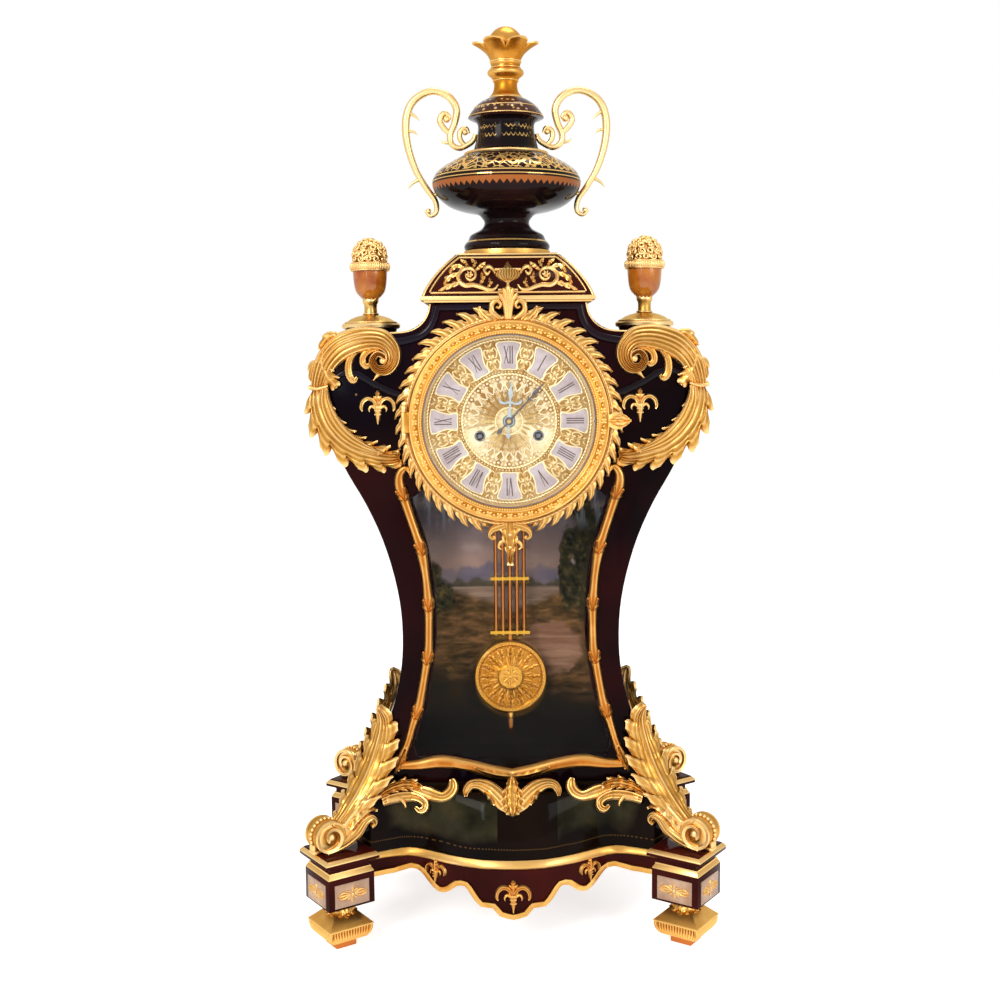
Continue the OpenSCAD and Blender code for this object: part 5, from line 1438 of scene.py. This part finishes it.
def centre_lace():
    """Small scrolls and dots laid over the outer half of the rays."""
    parts = []
    wall = front_plane(DIAL_FACE - 1.1)
    for i in range(24):
        turn = 15 * i
        if any(abs(turn - hole) < 16 for hole in HOLE_TURNS):
            continue
        for side in (1, -1):
            curl = [(0, 29.5, 0.5), (side * 2.0, 32.5, 0.8), (side * 3.9, 36.4, 0.8),
                    (side * 2.6, 39.6, 0.7), (side * 0.9, 37.6, 0.4)]
            parts.append(strip(dial_route(curl, turn), wall, rounded(0.7), 16, 5, 0.4))
        for r, on, raised, size in ((41.6, 0, 0.6, 1.2), (25.0, 7.5, 1.0, 0.9)):
            x, z = on_dial(r, turn + on)
            parts += beads([(x, DIAL_FACE - raised, z)], size, 8, 5, 0.6)
    return parts


def dial_scrolls():
    """Scrollwork between the cartouches, and each cartouche's border."""
    parts = []
    wall = front_plane(DIAL_FACE - 0.1)
    for i in range(12):
        turn = 15 + 30 * i
        stem = [(0, 49, 1.0), (0, 55, 2.2), (0, 61, 3.0), (0, 67, 2.0), (0, 72, 2.6), (0, 77, 0.5)]
        parts.append(strip(dial_route(stem, turn), wall, leaf(5, 0.45, 0.7, 1.2, 0.5), 40, 8, 0.5))
        for side in (1, -1):
            for low, high in ((51.5, 60.5), (63.0, 72.0)):
                mid = (low + high) / 2
                curl = [(1.2, low + 0.6, 0.5), (4.2, low - 0.6, 0.8), (6.3, mid, 0.95), (4.6, high, 0.8),
                        (2.4, high - 2, 0.7), (3.4, mid + 0.6, 0.4)]
                spots = [(side * s, r, h) for s, r, h in curl]
                parts.append(strip(dial_route(spots, turn), wall, rounded(1.2), 20, 6, 0.4))
        lace = [(-3.4, 77.2, 0.5), (-1.6, 74.8, 0.8), (1.6, 74.8, 0.8), (3.4, 77.2, 0.5)]
        parts.append(strip(dial_route(lace, turn), wall, rounded(0.9), 12, 5, 0.4))
        outline = CARTOUCHE + [(-s, r) for s, r in CARTOUCHE[-2::-1]]
        spots = [on_dial(r, 30 * i, s) for s, r in outline]
        parts.append(rod([(x, DIAL_FACE - 0.7, z) for x, z in spots], [0.72] * len(spots)))
        for side in (1, -1):
            for r, aside, size in ((75.0, 11.4, 1.3), (51.0, 7.6, 1.1)):
                x, z = on_dial(r, 30 * i, side * aside)
                parts += beads([(x, DIAL_FACE - 0.8, z)], size, 8, 5, 0.7)
    return parts


def make_dial():
    """Relief of the dial, its numerals and the collets of its winding holes."""
    rings = [roped_ring(45.5, DIAL_FACE - 0.5, 1.05, 84), roped_ring(13.0, DIAL_FACE - 0.5, 0.9, 30),
             roped_ring(79.5, DIAL_FACE - 0.4, 1.1, 150)]
    rings += beads(dial_spots(48.0, 96, DIAL_FACE - 0.3), 0.7, 6, 4)
    piece(dial_scrolls() + rings, "dial_outer_relief", DIAL_GILT, sharp=50)
    piece(dial_rays() + centre_lace(), "dial_centre_relief", DIAL_PALE, sharp=50)
    piece(numeral_parts(), "dial_numerals", INK)
    collets = [ring(4.5, 0, 0.85, (x, DIAL_FACE - 0.4, z), "Y", 32) for x, z in
               (on_dial(HOLE_R, hole) for hole in HOLE_TURNS)]
    piece(collets, "winding_collets", DARK_STEEL)


# Pendulum bob

BOB_FACE = -13.0


def make_bob():
    """Embossed relief on the bob: rosette, rays of leaves, scrolls and a beaded rim."""
    dressed("pendulum_bob", "bob_disc", BOB_GILT, 0.35, "bob")
    x0, z0 = BOB_X, BOB_Z
    plane = front_plane(BOB_FACE, 1, x0, z0)

    def turned_route(spots, degrees):
        a = math.radians(degrees)
        return [(r * math.sin(a) + s * math.cos(a), r * math.cos(a) - s * math.sin(a), h) for s, r,
                h in spots]
    parts = []
    for i in range(16):
        turn = 22.5 * i
        parts.append(strip(turned_route([(0, 13, 1), (0, 20, 2.6), (0, 27, 3.6), (0, 32.4, 0.6)], turn),
                           plane, leaf(4, 0.4, 0.7, 1.3, 0.5, 0.0, 0.5, 3), 32, 8, 0.8))
        for side in (1, -1):
            curl = [(side * 1.0, 24, 0.5), (side * 3.6, 26, 0.8), (side * 3.4, 30, 0.8),
                    (side * 1.4, 30.4, 0.4)]
            parts.append(strip(turned_route(curl, turn + 11.25), plane, rounded(1.2), 12, 5, 0.6))
        parts.append(strip(turned_route([(0, 14, 0.6), (0, 18.4, 1.5), (0, 22.4, 0.4)], turn + 11.25),
                           plane, rounded(1.0), 10, 5, 0.6))
    petals = front_plane(BOB_FACE - 2.0, 1, x0, z0)
    for i in range(8):
        parts.append(strip(turned_route([(0, 1.5, 0.8), (0, 5, 2.1), (0, 8.4, 1.9), (0, 10, 0.4)], 45 * i),
                           petals, rounded(0.9, 0.5), 14, 6, 1.0))
    parts.append(ring(12.4, 0, 0.9, (x0, BOB_FACE - 1.0, z0), "Y", 64))
    parts += beads([(x0, BOB_FACE - 2.6, z0)], 2.0, 12, 8, 0.5)
    for i in range(60):
        a = math.radians(6 * i)
        parts += beads([(x0 + 34.4 * math.sin(a), BOB_FACE - 1.3, z0 + 34.4 * math.cos(a))], 1.0, 6, 4, 0.8)
    piece(parts, "bob_relief", BOB_GILT, "bob", sharp=50)


# Corner blocks and feet: square profiles turned in four steps

def square_lathe(profile, bevel=0.3):
    """Square piece from a profile of [half side, height] points, about the upright axis."""
    obj = lathe([(h * math.sqrt(2), z) for h, z in profile], 4, closed=True)
    moved(obj, upright(45))
    return use(obj, "BEVEL", width=bevel * MM, segments=2, limit_method="ANGLE") if bevel else obj


def at_corners(obj):
    """obj, drawn round the upright axis, set on all four corner blocks."""
    return in_four(moved(obj, shift(*BLOCK) @ Matrix.Rotation(BLOCK_TURN, 4, "Z")))


def make_blocks():
    """Porcelain corner blocks and their gilt rims."""
    body = square_lathe([(0.01, 44.7), (24.0, 44.7), (24.8, 45.5), (24.8, 76.3), (20.9, 76.4), (20.9, 89.6),
                         (28.8, 89.6), (28.8, 93.0), (25.0, 97.3), (0.01, 97.3)], 0.35)
    piece(at_corners(body), "corner_block_bodies", APRON_GLAZE, stands_for=("corner_blocks",),
          sharp=30)
    rims = joined([
        square_lathe([(28.95, 92.4), (28.95, 93.3), (26.6, 96.1), (26.0, 96.4), (26.0, 95.4), (28.2, 92.4)],
                     0.15),
        square_lathe([(24.7, 76.3), (24.7, 77.2), (22.6, 80.6), (22.6, 82.2), (20.8, 82.2), (20.8, 76.3)],
                     0.25),
        square_lathe([(22.2, 87.4), (22.2, 89.5), (20.8, 89.5), (20.8, 87.4)], 0.25)])
    piece(at_corners(rims), "corner_block_rims", SATIN_GILT, stands_for=("block_rims",), sharp=30)


def plaque_relief():
    """Flower cross of one plaque, drawn on a block's inner face."""
    face = front_plane(-25.55, 1, 0, 59.0)
    parts = []
    for side in (1, -1):
        for tilt in (0.0, 1.7, -1.7):
            parts.append(strip([(side * 1.4, 0, 0.5), (side * 6, tilt * 1.2, 1.1),
                                (side * 10.8, tilt * 1.7, 1.0), (side * 15.6, tilt * 0.6, 0.3)], face,
                               rounded(1.0), 12, 5, 0.3))
        parts.append(strip([(0, side * 1.4, 0.6), (side * 0.5, side * 4.4, 1.7), (0, side * 8.0, 0.3)],
                           face, rounded(1.0), 10, 5, 0.3))
        for up in (1, -1):
            parts.append(strip([(side, up, 0.4), (side * 3.2, up * 3.4, 1.0), (side * 5.8, up * 4.6, 0.3)],
                               face, rounded(0.8), 8, 4, 0.3))
    parts += beads([(0, -25.9, 59.0)], 2.2, 10, 6, 0.7)
    return joined(parts)


def make_plaques():
    """Enamel plaques of the blocks and their flower crosses."""
    dressed("block_plaques", "enamel_plaques", PLAQUE_ENAMEL, 0.2)
    first = plaque_relief()
    faces = joined([first] + [twin(first, upright(turn)) for turn in (90, 180)])
    piece(at_corners(faces), "plaque_flower_crosses", ORANGE_GILT, sharp=50)


def foot_side():
    """One gadrooned side of a foot, which curves in towards its lower edge."""
    plane = front_plane(-23.4)
    route = [(0, 22.8, 23.6, 0.0), (0, 19.5, 23.9, 0.4), (0, 15, 22.9, -0.6), (0, 11.5, 20.8, -2.6),
             (0, 9.0, 18.6, -4.8)]
    return strip(route, plane, strands(16, 0.0, 2.3), 16, 96, 1.0)


def make_feet():
    """Fluted gilt feet on small reddish blocks."""
    sides = [foot_side()]
    sides += [twin(sides[0], upright(turn)) for turn in (90, 180, 270)]
    roof = square_lathe([(0.01, 22), (23.2, 22.2), (24.0, 22.8), (24.0, 23.7), (22.8, 24.8), (12.6, 34.6),
                         (10.6, 36.4), (0.01, 36.4)], 0.4)
    core = square_lathe([(0.01, 8.9), (18.0, 8.9), (21.6, 14), (22, 21.5), (0.01, 21.5)], 0.0)
    neck = lathe([(0.0, 34.6), (11.6, 34.6), (10.4, 36.6), (10.6, 38.4), (13.2, 40.4), (15.0, 41.6),
                  (15.0, 43.6), (13.6, 44.7), (0.0, 44.7)], 48, closed=True)
    collar = petals_round(12, 0, 9.6, 41.0, 15.6, 35.2, 3.2, 0.6)
    foot = joined(sides + [roof, core, neck, ring(15.2, 42.6, 1.1, steps=48)] + collar)
    piece(at_corners(foot), "gadrooned_feet", ORANGE_GILT, stands_for=("feet",), sharp=45)
    toe = square_lathe([(0.01, 0), (10.6, 0), (11, 0.5), (11, 8.0), (10.2, 9.2), (0.01, 9.2)], 0.4)
    piece(at_corners(toe), "foot_blocks", TOE_GILT, sharp=35)


# Corner finials

def both_finials(obj):
    """obj, drawn round the upright axis, set on both shoulders."""
    moved(obj, shift(FINIAL_X, FINIAL_Y))
    return [obj, twin(obj, MIRROR_X)]


def flower_curl(centre, out, size, start):
    """Small petal rolled into a spiral that faces out."""
    out = np.array(out) / np.linalg.norm(out)
    across = np.cross(out, [0.02, 0.01, 1.0])
    across /= np.linalg.norm(across)
    up = np.cross(out, across)
    t = np.linspace(0, 1, 10)
    a = start + t * 2 * math.pi * 1.3
    reach = size * (1 - 0.72 * t)
    points = (np.array(centre) + reach[:, None] * (np.cos(a)[:, None] * across + np.sin(a)[:, None] * up)
              + (0.5 * size * t)[:, None] * out)
    return rod(points, size * (0.42 - 0.12 * t), step=1.1)


def flower_clump():
    """Domed clump of curled petals above the cup's collar."""
    shape = [(0, 695), (7, 693.4), (12.4, 688.6), (15.4, 682), (16, 676), (15, 671), (13.5, 668)]
    dome = lathe([(0.0, 665), (12.4, 666)] + [(max(r - 2.4, 0.0), z - 1.6) for r, z in shape[::-1]], 32,
                 closed=True)
    parts = [dome]
    rows = ((672.0, 15.0, 12, 3.6, 0.1), (677.4, 15.4, 12, 3.7, 0.35), (682.8, 13.8, 10, 3.7, 0.6),
            (687.6, 10.0, 7, 3.6, 0.9), (691.0, 4.2, 3, 3.4, 1.3))
    for z, r, count, size, rise in rows:
        for i in range(count):
            a = 2 * math.pi * (i + 0.5 * (rise in (0.35, 0.9))) / count
            out = (math.cos(a) * math.cos(rise), math.sin(a) * math.cos(rise), math.sin(rise))
            parts.append(flower_curl((r * math.cos(a), r * math.sin(a), z), out, size, 2.4 * i + rise))
    return parts


def make_finials():
    """Corner finials: porcelain foot, gilt base, amber cup, collar and flowers."""
    foot = lathe([(0.0, 598), (24, 598), (25.4, 600), (26.4, 603.2), (0.0, 603.2)], 64, closed=True)
    piece(both_finials(foot), "finial_porcelain_feet", PORCELAIN)
    base = lathe([(0.0, 603), (27.6, 603), (29.2, 604.2), (29.4, 606.6), (28.2, 608.2), (26.4, 608.6),
                  (25.4, 609.4), (20, 613.0), (14.6, 615.2), (9.6, 616.4), (7.4, 617.2), (6.6, 619),
                  (6.3, 624), (6.6, 627.6), (7.6, 629.2), (8.2, 631), (7.8, 632.2), (0.0, 632.2)], 64,
                 closed=True)
    parts = [base, ring(25.6, 609.2, 0.9, steps=64), ring(7.4, 618, 0.8, steps=32)]
    parts += petals_round(6, 30, 6.2, 628, 11.4, 639, 2.6, 0.5)
    piece(both_finials(joined(parts)), "finial_gilt_bases", PALE_GILT, stands_for=("finial_bases",))
    bowl = smooth_run([(6.8, 632.4), (10.4, 635), (14.2, 639.6), (16.0, 646), (16.9, 654), (17.4, 662)], 24)
    cup = lathe([(0.0, 632), (6.6, 632), *bowl, (0.0, 662)], 64, closed=True)
    piece(both_finials(cup), "finial_amber_cups", AMBER, stands_for=("finial_cups",),
          sharp=60)
    collar = [lathe([(0.0, 661.6), (18.6, 661.6), (19.4, 662.6), (19.8, 664.6), (19.4, 667.4), (17, 668.6),
                     (0.0, 668.6)],
                    64, closed=True), ring(18.8, 661.4, 0.9, steps=64), ring(18.6, 668.2, 0.8, steps=64)]
    for i in range(56):
        a = 2 * math.pi * i / 56
        rib = [(19.5 * math.cos(a), 19.5 * math.sin(a), z) for z in (662.4, 665, 667.6)]
        collar.append(rod(rib, [0.55, 0.75, 0.55], step=2.6))
    piece(both_finials(joined(collar + flower_clump())), "finial_flower_clumps", CAST_GILT,
          stands_for=("finial_flowers",), sharp=60)


# Pediment: gilt borders and a relief of an urn between rosette scrolls

# Half widths and half depths of the pediment at some heights
PEDIMENT_ZS = [632, 639, 650, 662, 673]
PEDIMENT_HALF = [82, 79, 72, 62, 50]
PEDIMENT_DEPTH = [79, 76, 69, 59, 47]


def curve_at(z, values):
    """Value of the pediment's curve at heights z."""
    run = smooth_run(list(zip(PEDIMENT_ZS, values)), 60)
    return np.interp(z, run[:, 0], run[:, 1])


def on_pediment(obj):
    """Bends a flat front drawing on to the pediment's sloping front."""
    co = places(obj)
    z, out = co[:, 2], -co[:, 1]
    slope = (curve_at(z + 0.5, PEDIMENT_DEPTH) - curve_at(z - 0.5, PEDIMENT_DEPTH))
    length = np.sqrt(1 + slope ** 2)
    return put(obj, np.column_stack([co[:, 0], -curve_at(z, PEDIMENT_DEPTH) - out / length,
                                     z - out * slope / length]))


def pediment_relief():
    """Urn between two rosette scrolls with their leaves, drawn flat."""
    wall = front_plane(-0.1)
    parts = [strip([(-9.5, 637.4, 1.3), (9.5, 637.4, 1.3)], wall, rounded(1.6), 2, 6, 0.6),
             strip([(0, 638, 6), (0, 640.6, 2.4), (0, 644, 1.8), (0, 646.6, 4.6)], wall, rounded(2.2), 16,
                   8, 0.6),
             strip([(0, 645.6, 4), (0, 648, 8.4), (0, 652, 12), (0, 656, 11), (0, 657, 12.4)], wall,
                   strands(9, 3.0, 0.6), 24, 36, 0.6),
             strip([(-12.6, 657.6, 1.0), (12.6, 657.6, 1.0)], wall, rounded(2.0), 2, 6, 0.6),
             strip([(0, 657.4, 7), (0, 660, 4), (0, 662.4, 2), (0, 664.6, 0.4)], wall, rounded(2.2), 16, 8,
                   0.6)]
    scroll = [(9.5, 642, 0.9), (13, 638.2, 1.4), (19, 637.8, 1.7), (26, 640.6, 2.0), (33, 642.6, 2.1),
              (41, 642.4, 2.2), (46.6, 646.4, 2.2), (47.4, 653, 2.0), (43, 658.2, 1.8), (36.6, 659.2, 1.7),
              (31.6, 655.6, 1.5), (31.6, 650, 1.3), (35.8, 647.2, 1.2), (40, 649.2, 1.0), (40.4, 653, 0.7)]
    leaves = [[(42, 659, 1.6), (48, 661.8, 3.0), (53.4, 659.6, 2.6), (56.6, 654, 0.5)],
              [(47, 654, 1.8), (54, 652, 3.2), (59.4, 647.4, 2.6), (61.4, 641.4, 0.5)],
              [(45, 645, 1.8), (53, 643, 3.2), (60, 640.4, 2.6), (66.6, 636.8, 0.5)],
              [(31, 656.6, 1.4), (26.4, 661.2, 2.6), (21.4, 664.2, 0.5)],
              [(27, 643, 1.4), (24.2, 648.6, 2.6), (25.4, 654.6, 0.5)],
              [(20, 639.6, 1.4), (16.8, 644, 2.2), (17.8, 649, 0.5)],
              [(34, 659, 1.2), (31.8, 664.4, 2.4), (35.6, 668.4, 0.5)],
              [(39, 659.4, 1.2), (40.6, 664.6, 2.2), (45.6, 667, 0.5)]]
    for side in (1, -1):
        plane = front_plane(-0.1, side)
        parts.append(strip(scroll, plane, rounded(2.0), 96, 6, 0.6))
        parts.append(strip([(12, 653, 1.0), (14.6, 658.4, 1.5), (19, 661, 1.7), (22.6, 657.4, 1.6),
                            (20, 653, 1.4), (17.2, 655.4, 0.8)], plane, rounded(2.0), 36, 6, 0.6))
        for route in leaves:
            parts.append(strip(route, plane, leaf(3, 0.4, 0.6, 1.7, 0.5), 24, 8, 0.6))
        for turn in range(0, 360, 60):
            a = math.radians(turn)
            parts.append(strip([(37 + r * math.cos(a), 652.6 + r * math.sin(a), h) for r, h in
                                ((0.6, 0.6), (2.2, 1.2), (3.6, 0.4))], plane, rounded(1.6), 8, 5, 0.6))
    return parts


def make_pediment():
    """Gilt lines, relief and edge rods of the pediment."""
    lines = []
    for side in (1, -1):
        plane = front_plane(-0.1, side)
        inner = [(curve_at(z, PEDIMENT_HALF) - 5.4, z, 0.8) for z in (635.6, 640, 646, 652, 658, 664,
                                                                      670.4)]
        lines.append(strip(inner, plane, rounded(1.1), 40, 5, 0.5))
    for wide, z, half, crown, along in ((74, 635.2, 0.9, 1.2, 30), (47, 670.6, 0.8, 1.0, 24)):
        lines.append(strip([(-wide, z, half), (0, z, half), (wide, z, half)], front_plane(-0.1),
                           rounded(crown), along, 5, 0.5))
    front = on_pediment(joined(lines + pediment_relief()))
    run = [(curve_at(z, PEDIMENT_HALF) - 0.5, -(curve_at(z, PEDIMENT_DEPTH) - 0.5), z)
           for z in np.linspace(632.2, 672.6, 12)]
    edges = in_four(rod(run, [1.35] * len(run)))
    piece([front] + edges, "pediment_gilt_relief", CAST_GILT, sharp=50)


# Porcelain rolls and gilt edge lines of the case

CASE_EDGE = [(143.5, 152), (138.5, 167), (133, 184), (126, 206), (117, 230), (110, 260), (107, 290),
             (108, 325), (114, 360), (125, 397), (140, 431), (157, 461), (168, 484), (177, 510), (181, 538),
             (179, 566), (168, 594)]
NECK_EDGE = [(163, 597.4), (140, 597.6), (112, 597.6), (96, 599.4), (85, 605.2), (78, 614.6), (75.2, 625)]
NECK_ROLL = [(68.6, 622.6), (70.6, 613), (75, 603), (83, 595.4), (95, 591), (110, 588.8), (128, 588.6)]


def make_case_lines():
    """Porcelain rolls of the neck and the case's gilt edge lines."""
    roll = [strip([(x, z, 4.3) for x, z in NECK_ROLL], front_plane(CASE_FRONT + 0.3, side), rounded(3.4),
                  60, 10, 0.5)
            for side in (1, -1)]
    roll.append(strip([(-69, 621.4, 3.8), (0, 621.4, 3.8), (69, 621.4, 3.8)], front_plane(CASE_FRONT + 0.3),
                      rounded(3.2), 24, 10, 0.5))
    roll += [strip([(172, 551, 2.2), (160, 559.4, 3.2), (147, 558.6, 3.8), (131, 549.6, 3.9),
                    (114, 541.4, 3.7), (99, 536, 3.2)],
                   front_plane(CASE_FRONT + 0.3, side), rounded(2.8), 40, 10, 0.5) for side in (1, -1)]
    piece(roll, "neck_porcelain_rolls", ROLL_GLAZE, sharp=60)
    line = rod([(x - 0.6, CASE_FRONT + 0.9, z - 0.2) for x, z in NECK_EDGE], [1.05] * len(NECK_EDGE))
    side_line = rod([(x - 1.0, CASE_FRONT + 1.2, z) for x, z in CASE_EDGE], [0.55] * len(CASE_EDGE))
    piece(in_four(line) + in_four(side_line), "case_gilt_edge_lines", SATIN_GILT, sharp=60)


# Stage, light and camera

def look_camera():
    """Camera at the photograph's angle: place in metres, small turn, tilt and roll in degrees."""
    place = (-0.010721, -1.352234, 0.575955)
    pan, tilt, roll = 0.0569, 6.3081, 0.5160
    lens = 47.33
    data = bpy.data.cameras.new("photo_camera")
    data.lens = lens
    data.sensor_width = 36.0
    data.clip_end = 50.0
    camera = link("photo_camera", data)
    turn = (upright(-pan) @ Matrix.Rotation(math.radians(90 - tilt), 4, "X")
            @ upright(-roll))
    camera.matrix_world = Matrix.Translation(place) @ turn
    bpy.context.scene.camera = camera


def lamp(name, place, aim, size, power, colour, high=None):
    """Area lamp at a place in metres, aimed at another, high metres tall or square."""
    data = bpy.data.lights.new(name, "AREA")
    data.shape = "RECTANGLE"
    data.size = size
    data.size_y = high or size
    data.energy = power
    data.color = colour
    obj = link(name, data)
    obj.location = place
    obj.rotation_euler = (Vector(aim) - Vector(place)).to_track_quat("-Z", "Y").to_euler()


def seen_directly(n):
    """1 for rays of the camera, of mirrors and of glass, 0 for light that only scatters."""
    path = n.add("LightPath").outputs
    return n.most(path["Is Camera Ray"], path["Is Glossy Ray"], path["Is Transmission Ray"])


def stage_floor():
    """Pale floor that shines a little where it is seen, but lights nothing."""
    bpy.ops.mesh.primitive_circle_add(vertices=64, radius=30.0, fill_type="NGON", location=(0, 0, -0.0006))
    floor = bpy.context.object
    floor.name = "pale_floor"
    material, n, shader = new_material("pale_floor")
    shader.inputs["Base Color"].default_value = (0.86, 0.86, 0.86, 1)
    shader.inputs["Roughness"].default_value = 0.9
    shader.inputs["Specular IOR Level"].default_value = 0.0
    shader.inputs["Emission Color"].default_value = (1, 1, 1, 1)
    n.tree.links.new(n.times(seen_directly(n), 0.70), shader.inputs["Emission Strength"])
    floor.data.materials.append(material)


def light_scene():
    """Plain room light and four lamps."""
    world = bpy.data.worlds.new("plain_room")
    bpy.context.scene.world = world
    world.use_nodes = True
    n = Nodes(world.node_tree)
    world.node_tree.nodes.clear()
    level = n.plus(0.42, n.times(seen_directly(n), 0.58))
    back = n.add("Background", {"Color": (1, 1, 1, 1), "Strength": level})
    out = n.add("OutputWorld")
    world.node_tree.links.new(back.outputs[0], out.inputs[0])
    lamp("key_light", (-1.5, -2.2, 1.9), (0, 0, 0.5), 1.1, 46, (1.0, 0.97, 0.92))
    lamp("fill_light", (1.9, -1.9, 1.1), (0, 0, 0.45), 1.2, 25, (0.96, 0.98, 1.0))
    lamp("top_light", (0.2, 0.4, 2.6), (0, 0, 0.6), 1.0, 19, (1.0, 0.98, 0.95))
    lamp("window_strip", (-0.75, -1.7, 0.95), (0, -0.08, 0.55), 0.10, 3.2, (0.85, 0.92, 1.0), high=0.9)
    bpy.context.scene.view_settings.view_transform = "Standard"


look_camera()
light_scene()
stage_floor()
dress_frame()
make_urn()
make_urn_finial()
make_urn_handles()
make_shoulder_mounts()
make_fleurs()
make_consoles()
make_base_scrolls()
make_window_frame()
make_surround()
make_bezel_ring()
make_dial()
make_bob()
make_blocks()
make_plaques()
make_feet()
make_finials()
make_pediment()
make_case_lines()
